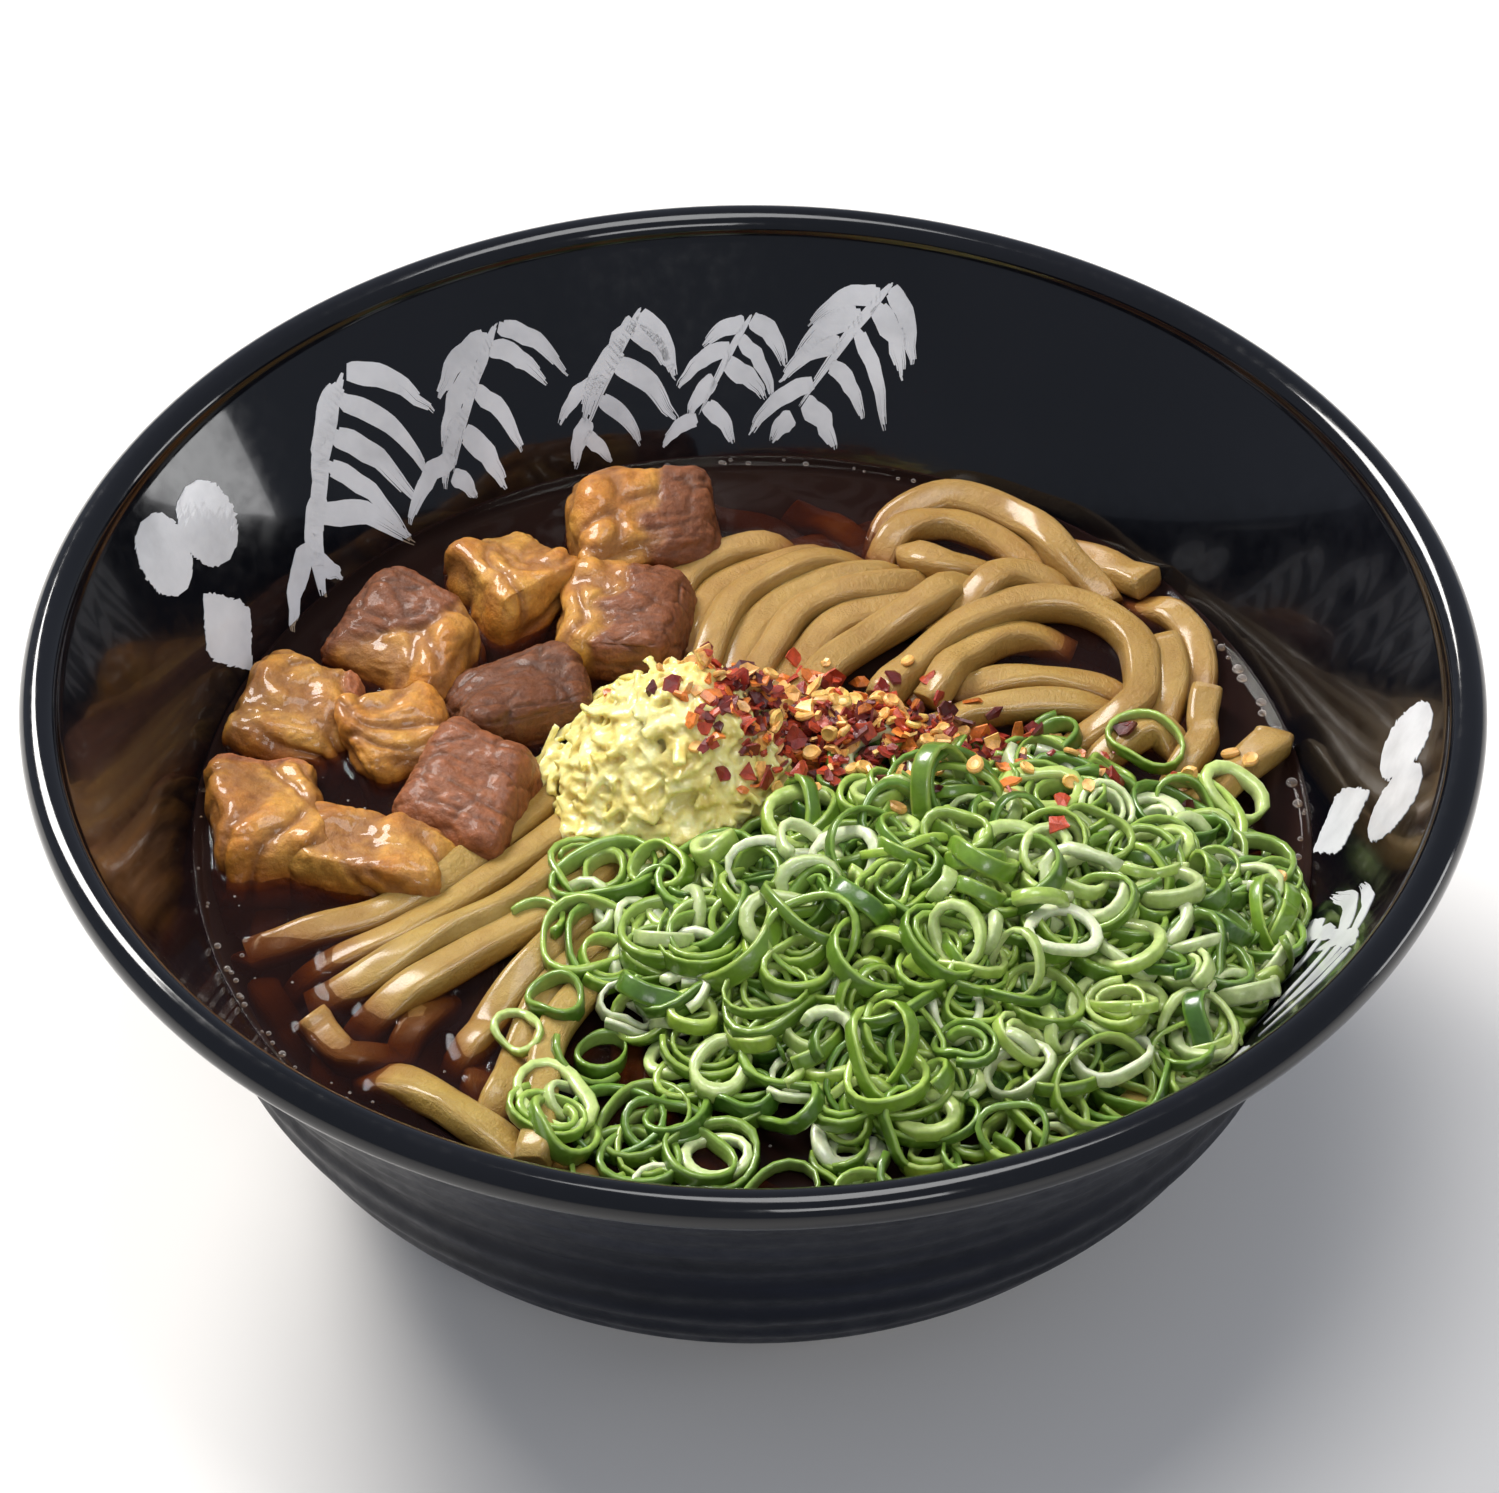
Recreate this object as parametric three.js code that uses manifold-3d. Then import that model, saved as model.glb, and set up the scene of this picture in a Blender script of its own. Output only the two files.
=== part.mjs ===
// A bowl of udon in dark broth, built the way it is served: a flared stoneware bowl on a ring foot,
// a bed of thick noodles that lies on the bowl's floor and breaks the surface of the broth, ten cubes
// of stewed beef along one side, a mound of grated ginger and a heap of sliced spring onion on top.
// Millimetres, +Z up. The origin is the middle of the ring foot, on the table.
import * as THREE from "three";
import { mergeVertices } from "three/addons/utils/BufferGeometryUtils.js";
import Module from "manifold-3d";

const wasm = await Module();
wasm.setup();

// ---- Driving dimensions ----
const RIM_RADIUS = 105; // the bowl is 210 mm across its lip
const BOWL_HEIGHT = 86;
const FOOT_RADIUS = 54;
const FOOT_WIDTH = 4.5; // of the ring the bowl stands on
const FOOT_HEIGHT = 4;
const LIP_HEIGHT = 4.8; // of the thickened band under the rim
const LIP_STEP = 2; // how far the band stands proud of the wall
const BROTH_LEVEL = 52.5;
const GAP = 0.3; // between pieces that touch
const SPOKES = 36; // facets round the bowl and round what fills it
const MEAT_SINK = 0.5; // share of a meat cube that lies under the broth

// ---- Solids: manifold-3d only joins and cuts ----
function solidOf(geometry) {
  const bare = geometry.index ? geometry.toNonIndexed() : geometry.clone();
  bare.deleteAttribute("normal");
  bare.deleteAttribute("uv");
  const merged = mergeVertices(bare, 1e-3);
  return new wasm.Manifold(
    new wasm.Mesh({
      numProp: 3,
      vertProperties: merged.attributes.position.array,
      triVerts: new Uint32Array(merged.index.array),
    }),
  );
}

function geometryOf(solid) {
  const cut = solid.getMesh();
  const positions = new Float32Array(cut.numVert * 3);
  for (let i = 0; i < cut.numVert; i++) {
    const start = i * cut.numProp;
    positions.set(cut.vertProperties.subarray(start, start + 3), i * 3);
  }
  const geometry = new THREE.BufferGeometry();
  geometry.setAttribute("position", new THREE.BufferAttribute(positions, 3));
  geometry.setIndex(new THREE.BufferAttribute(cut.triVerts, 1));
  return geometry;
}

// The main body of a solid. Points a micron apart are joined first, so that no crumb or sliver
// that a cut leaves stays in it.
function mainBody(solid) {
  const bodies = solidOf(geometryOf(solid)).decompose();
  return bodies.reduce((a, b) => (a.volume() > b.volume() ? a : b));
}

function meshOf(solid, name, material) {
  const geometry = geometryOf(solid);
  geometry.computeVertexNormals();
  const mesh = new THREE.Mesh(geometry, material);
  mesh.name = name;
  return mesh;
}

// A profile of (radius, height) points turned about +Z.
function turned(profile) {
  return new THREE.LatheGeometry(profile, SPOKES).rotateX(Math.PI / 2);
}

// ---- Bowl ----
// The outside rises steeply from the foot to a belly, then flares straight out to the lip.
const outerWall = new THREE.SplineCurve([
  new THREE.Vector2(FOOT_RADIUS, FOOT_HEIGHT),
  new THREE.Vector2(71, 20.5),
  new THREE.Vector2(80.5, 36),
  new THREE.Vector2(86, BROTH_LEVEL),
  new THREE.Vector2(RIM_RADIUS - LIP_STEP, BOWL_HEIGHT - LIP_HEIGHT),
]);
const OUTER_STEPS = 10;
const INNER_STEPS = 11;
const LIP_ROUND = 2.8; // radius of the rolled rim
const LIP_SLOPE = 0.8; // height over which the band steps out
const ROLL_STEPS = 4;
const FOOT_RECESS = 3; // how far the underside lies above the table
const FOOT_DRAFT = 0.6;

// The inside is a shallow floor that turns up into the flared wall.
const innerWall = new THREE.SplineCurve([
  new THREE.Vector2(0, 8),
  new THREE.Vector2(32, 8.8),
  new THREE.Vector2(63, 21),
  new THREE.Vector2(74.6, 35),
  new THREE.Vector2(81.3, BROTH_LEVEL),
  new THREE.Vector2(RIM_RADIUS - 2 * LIP_ROUND, BOWL_HEIGHT - LIP_ROUND),
]);
const innerPoints = innerWall.getPoints(INNER_STEPS);

function bowlProfile() {
  const points = [
    new THREE.Vector2(0, FOOT_RECESS),
    new THREE.Vector2(FOOT_RADIUS - FOOT_WIDTH - FOOT_DRAFT, FOOT_RECESS),
    new THREE.Vector2(FOOT_RADIUS - FOOT_WIDTH, 0),
    new THREE.Vector2(FOOT_RADIUS - FOOT_DRAFT, 0),
  ];
  points.push(...outerWall.getPoints(OUTER_STEPS));
  points.push(new THREE.Vector2(RIM_RADIUS, BOWL_HEIGHT - LIP_HEIGHT + LIP_SLOPE));
  for (let i = 0; i <= ROLL_STEPS; i++) {
    const turn = (Math.PI * i) / ROLL_STEPS;
    points.push(
      new THREE.Vector2(
        RIM_RADIUS - LIP_ROUND + LIP_ROUND * Math.cos(turn),
        BOWL_HEIGHT - LIP_ROUND + LIP_ROUND * Math.sin(turn),
      ),
    );
  }
  return points.concat(innerPoints.slice(0, -1).reverse());
}

const bowl = solidOf(turned(bowlProfile()));

// ---- The space that the contents fill: the inside of the bowl, a gap smaller ----
function fillUpTo(level) {
  const liner = innerPoints.map((p, i) => {
    const before = innerPoints[Math.max(i - 1, 0)];
    const after = innerPoints[Math.min(i + 1, INNER_STEPS)];
    const along = after.clone().sub(before).normalize();
    const x = i === 0 ? 0 : p.x - GAP * along.y;
    return new THREE.Vector2(x, p.y + GAP * along.x);
  });
  const next = liner.findIndex((p) => p.y > level);
  const [a, b] = [liner[next - 1], liner[next]];
  const edge = a.x + ((b.x - a.x) * (level - a.y)) / (b.y - a.y);
  const profile = liner.slice(0, next);
  profile.push(new THREE.Vector2(edge, level), new THREE.Vector2(0, level));
  return solidOf(turned(profile));
}

// ---- Heaps ----
// A heap about a middle point, out to reach(angle), with its top at topAt(x, y) and a flat floor.
function heap({ x, y, reach, topAt, floor, rings, spokes = SPOKES }) {
  const positions = [x, y, floor, x, y, topAt(x, y)];
  const faces = [];
  for (let ring = 1; ring <= rings; ring++) {
    for (let spoke = 0; spoke < spokes; spoke++) {
      const angle = (2 * Math.PI * spoke) / spokes;
      const out = (reach(angle) * ring) / rings;
      const px = x + out * Math.cos(angle);
      const py = y + out * Math.sin(angle);
      positions.push(px, py, floor, px, py, topAt(px, py));
    }
  }
  const at = (ring, spoke, top) =>
    ring === 0 ? top : 2 + 2 * ((ring - 1) * spokes + (spoke % spokes)) + top;
  for (let ring = 0; ring < rings; ring++) {
    for (let spoke = 0; spoke < spokes; spoke++) {
      for (const top of [0, 1]) {
        const inner = at(ring, spoke, top);
        const innerNext = at(ring, spoke + 1, top);
        const outer = at(ring + 1, spoke, top);
        const outerNext = at(ring + 1, spoke + 1, top);
        const sheet = top ? [outer, outerNext] : [outerNext, outer];
        faces.push(inner, ...sheet);
        if (ring > 0) faces.push(inner, ...(top ? [outerNext, innerNext] : [innerNext, outerNext]));
      }
    }
  }
  for (let spoke = 0; spoke < spokes; spoke++) {
    const low = at(rings, spoke, 0);
    const lowNext = at(rings, spoke + 1, 0);
    faces.push(low, lowNext, lowNext + 1, low, lowNext + 1, low + 1);
  }
  const geometry = new THREE.BufferGeometry();
  geometry.setAttribute("position", new THREE.Float32BufferAttribute(positions, 3));
  geometry.setIndex(faces);
  return solidOf(geometry);
}

// A soft hump: 1 in the middle, 0 at its reach and beyond.
function hump(px, py, { x, y, long, wide, turn = 0 }) {
  const c = Math.cos((turn * Math.PI) / 180);
  const s = Math.sin((turn * Math.PI) / 180);
  const u = ((px - x) * c + (py - y) * s) / long;
  const v = (-(px - x) * s + (py - y) * c) / wide;
  return Math.max(0, 1 - u * u - v * v);
}

// ---- Noodles ----
// One bed across the bowl's floor. Its swells are the hanks that stand out of the broth.
const BED_TOP = BROTH_LEVEL - 8.5; // the sunk part of the bed
const SWELLS = [
  { x: -2, y: 4, long: 62, wide: 46, turn: 45, rise: 15 }, // under the garnish, front left to back
  { x: -38, y: -28, long: 38, wide: 24, turn: 38, rise: 12 }, // front left hank
  { x: 16, y: 42, long: 32, wide: 22, turn: 60, rise: 13 }, // back hank
  { x: 43, y: 38, long: 34, wide: 21, turn: -35, rise: 13 }, // looped hank, back right
  { x: 59, y: -16, long: 34, wide: 15, turn: 85, rise: 13 }, // right edge
  { x: 20, y: -36, long: 48, wide: 34, turn: 0, rise: 13 }, // under the spring onion
];
const BED_REACH = 92;

function bedTop(x, y) {
  const most = SWELLS.reduce((top, s) => Math.max(top, s.rise * Math.sqrt(hump(x, y, s))), 0);
  const strands = 0.5 * Math.sin(0.75 * (x - y)) * Math.min(1, most / 8);
  return BED_TOP + most + strands;
}

function noodleBed(extra) {
  return heap({
    x: 0,
    y: 0,
    reach: () => BED_REACH,
    topAt: (x, y) => bedTop(x, y) + extra,
    floor: 0,
    rings: 11,
  });
}

// ---- Beef ----
// Cubes of stewed shin with a lean side and a soft, fatty one. turn and tip are in degrees.
const MEAT = [
  { x: -18, y: 60, size: [21, 19, 22], turn: 8, tip: 12 },
  { x: -37, y: 47, size: [17, 19, 17], turn: 35, tip: -6 },
  { x: -20, y: 38, size: [19, 19, 19], turn: -4, tip: 3 },
  { x: -53, y: 34, size: [22, 18, 17], turn: -32, tip: 5 },
  { x: -36, y: 22, size: [20, 17, 16], turn: 24, tip: -8 },
  { x: -69, y: 19, size: [16, 20, 15], turn: -18, tip: 6 },
  { x: -54, y: 14, size: [14, 15, 15], turn: 20, tip: 0 },
  { x: -72, y: -4, size: [14, 24, 16], turn: 6, tip: -5 },
  { x: -43, y: 2, size: [19, 21, 19], turn: -28, tip: 8 },
  { x: -58, y: -13, size: [21, 13, 16], turn: -14, tip: -4 },
];
const MEAT_CUTS = 3; // facets along each edge of a cube
const MEAT_ROUND = 0.42; // 0 is a sharp cube, 1 a ball

function meatCube({ x, y, size, turn, tip }, index, extra) {
  const geometry = new THREE.BoxGeometry(2, 2, 2, MEAT_CUTS, MEAT_CUTS, MEAT_CUTS);
  const at = geometry.attributes.position;
  const p = new THREE.Vector3();
  const ball = new THREE.Vector3();
  for (let i = 0; i < at.count; i++) {
    p.fromBufferAttribute(at, i);
    ball.copy(p).normalize().multiplyScalar(1.25);
    const lump = 1 + 0.07 * Math.sin(2.3 * p.x + 1.7 * p.y * p.z + 1.9 * index);
    p.lerp(ball, MEAT_ROUND).multiplyScalar(lump);
    p.x += 0.12 * p.z * Math.sin(index);
    p.y += 0.12 * p.z * Math.cos(2 * index);
    at.setXYZ(i, p.x, p.y, p.z);
  }
  const [length, width, height] = size.map((side) => side / 2 + extra);
  geometry.scale(length, width, height);
  geometry.rotateX((tip * Math.PI) / 180);
  geometry.rotateZ((turn * Math.PI) / 180);
  return solidOf(geometry.translate(x, y, BROTH_LEVEL + (0.5 - MEAT_SINK) * size[2] - 1));
}

// ---- Garnish heaps ----
const GINGER = { x: -10, y: 8, reach: 21, peak: 75, ragged: 2.2 };
const ONION = { x: 27, y: -30, long: 53, wide: 41, turn: -14, peak: 73 };

function gingerHeap(extra) {
  const { x, y, reach, peak, ragged } = GINGER;
  return heap({
    x,
    y,
    reach: (a) => reach + extra + ragged * Math.sin(3 * a + 1) + 0.8 * Math.sin(7 * a),
    topAt: (px, py) => {
      const out = Math.min(1, Math.hypot(px - x, py - y) / (reach + ragged));
      const lump = 0.9 * Math.sin(0.55 * px + 0.3) * Math.cos(0.5 * py);
      return BROTH_LEVEL + 2 + (peak - BROTH_LEVEL - 2) * (1 - out ** 1.7) + lump + extra;
    },
    floor: BED_TOP,
    rings: 5,
    spokes: 20,
  });
}

function onionHeap() {
  const { x, y, long, wide, turn, peak } = ONION;
  return heap({
    x,
    y,
    reach: (a) => {
      const across = a - (turn * Math.PI) / 180;
      const oval = 1 / Math.hypot(Math.cos(across) / long, Math.sin(across) / wide);
      return oval + 1.8 * Math.sin(5 * a) + 1.1 * Math.sin(9 * a + 2);
    },
    topAt: (px, py) => {
      const inside = hump(px, py, { x, y, long: long + 3, wide: wide + 3, turn });
      const lump = 0.8 * Math.sin(0.34 * px) * Math.cos(0.41 * py + 1);
      return BROTH_LEVEL + 1.6 + (peak - BROTH_LEVEL - 1.6) * inside ** 0.8 + lump * inside;
    },
    floor: BED_TOP,
    rings: 7,
    spokes: 32,
  });
}

// ---- Fitting the pieces to each other ----
const inside = fillUpTo(BOWL_HEIGHT - LIP_HEIGHT);
const meatCutters = MEAT.map((cut, i) => meatCube(cut, i, GAP));
const allMeat = meatCutters.reduce((a, b) => a.add(b));
const bedCutter = noodleBed(GAP);
const surfaceCutter = solidOf(
  turned([
    new THREE.Vector2(0, 0),
    new THREE.Vector2(BED_REACH, 0),
    new THREE.Vector2(BED_REACH, BROTH_LEVEL + GAP),
    new THREE.Vector2(0, BROTH_LEVEL + GAP),
  ]),
);
const gingerCutter = gingerHeap(GAP);

const noodles = mainBody(noodleBed(0).intersect(inside).subtract(allMeat));
const broth = mainBody(fillUpTo(BROTH_LEVEL).subtract(bedCutter).subtract(allMeat));
const beef = MEAT.map((cut, i) => {
  const whole = meatCube(cut, i, 0).intersect(inside);
  return mainBody(meatCutters.slice(0, i).reduce((left, other) => left.subtract(other), whole));
});
const underGarnish = bedCutter.add(surfaceCutter).add(allMeat);
const ginger = mainBody(gingerHeap(0).subtract(underGarnish));
const springOnion = mainBody(
  onionHeap().intersect(inside).subtract(underGarnish).subtract(gingerCutter),
);

// ---- Finishes ----
const finish = (color, roughness) =>
  new THREE.MeshStandardMaterial({ color, roughness, metalness: 0 });
const blackGlaze = finish(0x0b0c10, 0.12);
const soup = finish(0x2a0e06, 0.05);
const noodle = finish(0xc9a255, 0.35);
const stewed = finish(0x8a5230, 0.4);
const gingerRoot = finish(0xf0e08c, 0.5);
const onionGreen = finish(0x5f9a2e, 0.4);

const udon = new THREE.Group();
udon.add(meshOf(bowl, "bowl", blackGlaze));
udon.add(meshOf(broth, "broth", soup));
udon.add(meshOf(noodles, "noodles", noodle));
beef.forEach((cube, i) => udon.add(meshOf(cube, `beef_${i + 1}`, stewed)));
udon.add(meshOf(ginger, "ginger", gingerRoot));
udon.add(meshOf(springOnion, "spring_onion", onionGreen));

export default udon;
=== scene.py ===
import bpy
import math
import numpy as np
from mathutils import Matrix, Vector
from mathutils.bvhtree import BVHTree


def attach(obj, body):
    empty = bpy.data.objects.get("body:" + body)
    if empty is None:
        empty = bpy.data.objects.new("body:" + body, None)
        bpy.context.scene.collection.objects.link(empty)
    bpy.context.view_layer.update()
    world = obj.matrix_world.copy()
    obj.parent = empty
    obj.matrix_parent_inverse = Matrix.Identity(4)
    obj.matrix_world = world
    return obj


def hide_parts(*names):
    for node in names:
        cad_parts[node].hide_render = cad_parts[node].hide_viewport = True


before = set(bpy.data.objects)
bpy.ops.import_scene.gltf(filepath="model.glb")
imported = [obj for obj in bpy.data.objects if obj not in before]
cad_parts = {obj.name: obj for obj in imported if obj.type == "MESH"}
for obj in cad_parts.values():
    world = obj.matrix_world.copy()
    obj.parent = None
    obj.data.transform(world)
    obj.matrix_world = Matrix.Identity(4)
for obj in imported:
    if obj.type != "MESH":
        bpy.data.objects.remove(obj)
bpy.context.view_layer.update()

# ---------------------------------------------------------------------------------------------
# Bowl. Black-glazed stoneware, thrown on a wheel: a ring foot, a belly, a straight flare and a
# rolled lip. The glaze is glassy inside and over the lip, satin outside where the throwing
# ridges show, and wiped off the foot so that the bowl doesn't stick to the kiln shelf.
# ---------------------------------------------------------------------------------------------
MM = 0.001
LIP_RADIUS = 105.0
BOWL_HEIGHT = 86.0
LIP_ROLL = 2.8
BROTH_LEVEL = 52.5


def spline(points, steps=12):
    """A smooth line through the points, with steps points to each span."""
    p = np.asarray(points, float)
    p = np.vstack([p[:1], p, p[-1:]])
    t = np.linspace(0, 1, steps, endpoint=False)[:, None]
    spans = []
    for a, b, c, d in zip(p, p[1:], p[2:], p[3:]):
        spans.append(
            0.5 * (2 * b + (c - a) * t + (2 * a - 5 * b + 4 * c - d) * t**2 + (3 * b - a - 3 * c + d) * t**3)
        )
    return np.vstack(spans + [p[-1:]])


def make_mesh(name, points, faces, finishes, picks=None, smooth=True, tint=None):
    """A piece from points in millimetres and blocks of faces, each block an array of equal rows."""
    blocks = [np.asarray(block, int) for block in faces]
    counts = np.concatenate([np.full(len(b), b.shape[1]) for b in blocks])
    mesh = bpy.data.meshes.new(name)
    mesh.vertices.add(len(points))
    mesh.vertices.foreach_set("co", (np.asarray(points, float) * MM).ravel())
    mesh.loops.add(int(counts.sum()))
    mesh.loops.foreach_set("vertex_index", np.concatenate([b.ravel() for b in blocks]))
    mesh.polygons.add(len(counts))
    mesh.polygons.foreach_set("loop_start", np.concatenate([[0], np.cumsum(counts)[:-1]]))
    mesh.polygons.foreach_set("use_smooth", np.full(len(counts), smooth))
    for each in finishes:
        mesh.materials.append(each)
    if picks is not None:
        mesh.polygons.foreach_set("material_index", np.asarray(picks, int))
    mesh.update(calc_edges=True)
    mesh.validate()
    if tint is not None:
        layer = mesh.attributes.new("tint", "FLOAT_COLOR", "POINT")
        layer.data.foreach_set("color", np.c_[tint, np.ones(len(tint))][:, :4].ravel())
    piece = bpy.data.objects.new(name, mesh)
    bpy.context.scene.collection.objects.link(piece)
    return piece


def socket_of(shader, name):
    return shader.inputs[name.replace("_", " ").title().replace("Ior", "IOR")]


def finish(name, color, **sockets):
    """A new material: its node tree and its main shader, with the plain sockets set."""
    material = bpy.data.materials.new(name)
    material.use_nodes = True
    tree = material.node_tree
    shader = tree.nodes["Principled BSDF"]
    shader.inputs["Base Color"].default_value = (*color, 1)
    for socket, value in sockets.items():
        socket_of(shader, socket).default_value = value
    material.diffuse_color = (*color, 1)
    return material, tree, shader


def drive(tree, shader, **sockets):
    """Links a value to each of the main shader's sockets that is named."""
    for socket, value in sockets.items():
        tree.links.new(value, socket_of(shader, socket))


def add(tree, kind, inputs=None, **settings):
    """A new node. Each input is a value, or a socket to link from."""
    node = tree.nodes.new("ShaderNode" + kind)
    for key, value in settings.items():
        setattr(node, key, value)
    for key, value in (inputs or {}).items():
        if isinstance(value, bpy.types.NodeSocket):
            tree.links.new(value, node.inputs[key])
        else:
            node.inputs[key].default_value = value
    return node


def place(tree):
    """Where a point of the piece is, in the row frame."""
    return add(tree, "TexCoord").outputs["Object"]


def noise(tree, scale, detail=3.0, rough=0.5, at=None, stretch=None):
    """Cloudy values about 0.5; scale is per metre, stretch squeezes it along x, y and z."""
    where = at or place(tree)
    if stretch:
        where = add(tree, "Mapping", {"Vector": where, "Scale": stretch}).outputs["Vector"]
    return add(
        tree, "TexNoise", {"Vector": where, "Scale": scale, "Detail": detail, "Roughness": rough}
    ).outputs["Fac"]


def ramp(tree, fac, *stops):
    """Colours along a value: each stop is (value, colour)."""
    node = add(tree, "ValToRGB", {"Fac": fac})
    band = node.color_ramp.elements
    while len(band) < len(stops):
        band.new(0.5)
    for element, (value, color) in zip(band, stops):
        element.position = value
        element.color = (*color, 1) if len(color) == 3 else color
    return node.outputs["Color"]


def remap(tree, value, low, high, to_low, to_high):
    """A value that goes from to_low to to_high while another goes from low to high."""
    ends = {"From Min": low, "From Max": high, "To Min": to_low, "To Max": to_high}
    return add(tree, "MapRange", {"Value": value, **ends}).outputs["Result"]


def bumps(tree, shader, height, strength, distance):
    """Fine relief in the finish, distance metres deep."""
    node = add(tree, "Bump", {"Height": height, "Strength": strength, "Distance": distance})
    tree.links.new(node.outputs["Normal"], shader.inputs["Normal"])


outer_line = spline(
    [(54, 4), (71, 20.5), (80.5, 36), (86, BROTH_LEVEL), (LIP_RADIUS - 2, BOWL_HEIGHT - 4.8)], 24
)
lip_inside = (LIP_RADIUS - 2 * LIP_ROLL, BOWL_HEIGHT - LIP_ROLL)
inner_line = spline(
    [(0, 8), (32, 8.8), (63, 21), (74.6, 35), (81.3, BROTH_LEVEL), lip_inside], 16
)


def wall_at(height):
    """Radius of the inner wall."""
    return np.interp(height, inner_line[:, 1], inner_line[:, 0])


RIDGE_STEP, RIDGE_HEIGHT = 7.4, 0.34


def ridged(line):
    """The outside with its throwing ridges, which fade towards the foot and the lip."""
    up = (line[:, 1] - line[0, 1]) / np.ptp(line[:, 1])
    beat = np.cos(2 * np.pi * line[:, 1] / RIDGE_STEP + 1.3 * np.sin(5 * up))
    out = line.copy()
    out[:, 0] += RIDGE_HEIGHT * beat * np.sin(np.pi * up) ** 0.7
    return out


half_turn = np.linspace(0, math.pi, 15)
roll = np.c_[np.cos(half_turn), np.sin(half_turn)] * LIP_ROLL
roll += (LIP_RADIUS - LIP_ROLL, BOWL_HEIGHT - LIP_ROLL)
foot_line = np.array(
    [(0, 3), (46, 3), (48.3, 2.8), (49, 2.2), (49.6, 0.3), (50, 0), (53.3, 0), (53.8, 0.4), (54, 1.4)]
)
step_line = np.array([(103.25, 81.35), (104.2, 81.55), (104.8, 81.9), (105, 82.5)])
profile = np.vstack([foot_line, ridged(outer_line), step_line, roll, inner_line[::-1][1:]])
BOWL_SPOKES = 224


def full_turn(count):
    return np.linspace(0, 2 * np.pi, count, endpoint=False)


def closed_rows(rows, spokes, first, start, end, flip=False):
    """Faces over rows rings of points, which begin at the point first, closed by fans to the
    points start and end; flip turns them inside out."""
    k = np.arange(spokes)
    n = (k + 1) % spokes
    base = first + np.arange(rows - 1)[:, None] * spokes
    quads = np.stack([base + k, base + spokes + k, base + spokes + n, base + n], 2).reshape(-1, 4)
    last = first + (rows - 1) * spokes
    caps = np.vstack([np.c_[k * 0 + start, first + k, first + n], np.c_[last + n, last + k, k * 0 + end]])
    return (quads[:, [0, 3, 2, 1]], caps[:, [0, 2, 1]]) if flip else (quads, caps)


def turned(line, spokes):
    """Points and faces of a line of (radius, height) turned round +Z; both ends lie on the axis."""
    turn = full_turn(spokes)
    middle = line[1:-1]
    radius, height = middle[:, :1], np.repeat(middle[:, 1:], spokes, 1)
    rings = np.stack([radius * np.cos(turn), radius * np.sin(turn), height], 2).reshape(-1, 3)
    points = np.vstack([[(0, 0, line[0, 1])], rings, [(0, 0, line[-1, 1])]])
    return points, closed_rows(len(middle), spokes, 1, 0, len(points) - 1, flip=True)


inside_glaze, tree, shader = finish(
    "black_gloss_glaze", (0.003, 0.0033, 0.0045),
    roughness=0.07, specular_ior_level=0.34, coat_weight=0.25, coat_roughness=0.03,
)
drive(
    tree, shader,
    base_color=ramp(tree, noise(tree, 28, 2), (0.3, (0.002, 0.0022, 0.0034)), (0.7, (0.0042, 0.0042, 0.006))),
    roughness=remap(tree, noise(tree, 420, 4), 0.35, 0.7, 0.08, 0.16),
)
bumps(tree, shader, noise(tree, 60, 2), 0.12, 0.0006)

outside_glaze, tree, shader = finish("black_satin_glaze", (0.004, 0.005, 0.009), roughness=0.42, ior=1.2)
bands = noise(tree, 55, 4, 0.6, stretch=(0.5, 0.5, 4.5))
drive(
    tree, shader,
    base_color=ramp(
        tree, bands,
        (0.3, (0.0022, 0.0028, 0.0055)), (0.62, (0.0045, 0.006, 0.0125)), (0.8, (0.009, 0.012, 0.024)),
    ),
    roughness=remap(tree, noise(tree, 240, 5, 0.7), 0.3, 0.75, 0.34, 0.56),
)
bumps(tree, shader, noise(tree, 900, 3), 0.2, 0.0002)

bare_clay, tree, shader = finish("bare_foot_clay", (0.07, 0.058, 0.05), roughness=0.85)
clay = ramp(tree, noise(tree, 700, 5, 0.7), (0.3, (0.05, 0.042, 0.036)), (0.7, (0.1, 0.084, 0.07)))
drive(tree, shader, base_color=clay)
bumps(tree, shader, noise(tree, 1500, 3), 0.4, 0.0003)

points, faces = turned(profile, BOWL_SPOKES)
GLOSS, SATIN, CLAY = 0, 1, 2
row_pick = np.full(len(profile) - 3, SATIN)
row_pick[len(foot_line) + len(outer_line) - 2 :] = GLOSS
row_pick[3 : len(foot_line) - 2] = CLAY
picks = np.repeat([*row_pick, SATIN, GLOSS], BOWL_SPOKES)
bowl = make_mesh("bowl_turned", points, faces, [inside_glaze, outside_glaze, bare_clay], picks)
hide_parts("bowl")
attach(bowl, "root")

# ---------------------------------------------------------------------------------------------
# Painted pattern. Silver-grey overglaze, brushed twice round the inside of the flare before the
# last firing: two overlapping discs, a diamond and five sprays of bamboo leaves. The film stands
# a tenth of a millimetre proud of the glaze, with the streaks that a drying brush leaves.
# ---------------------------------------------------------------------------------------------
rng = np.random.default_rng(11)
paint_points, paint_faces = [], []
PAINT_PROUD, PAINT_SINK = 0.1, 0.25


def on_wall(turn, across, height, proud):
    """A point of the inner wall: across is millimetres to the right of turn, seen from inside."""
    angle = math.radians(turn) - across / 90.0
    slope = np.arctan2(wall_at(height + 0.5) - wall_at(height - 0.5), 1.0)
    inward = wall_at(height) - proud * np.cos(slope)
    return np.stack([inward * np.cos(angle), inward * np.sin(angle), height + proud * np.sin(slope)], -1)


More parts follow.
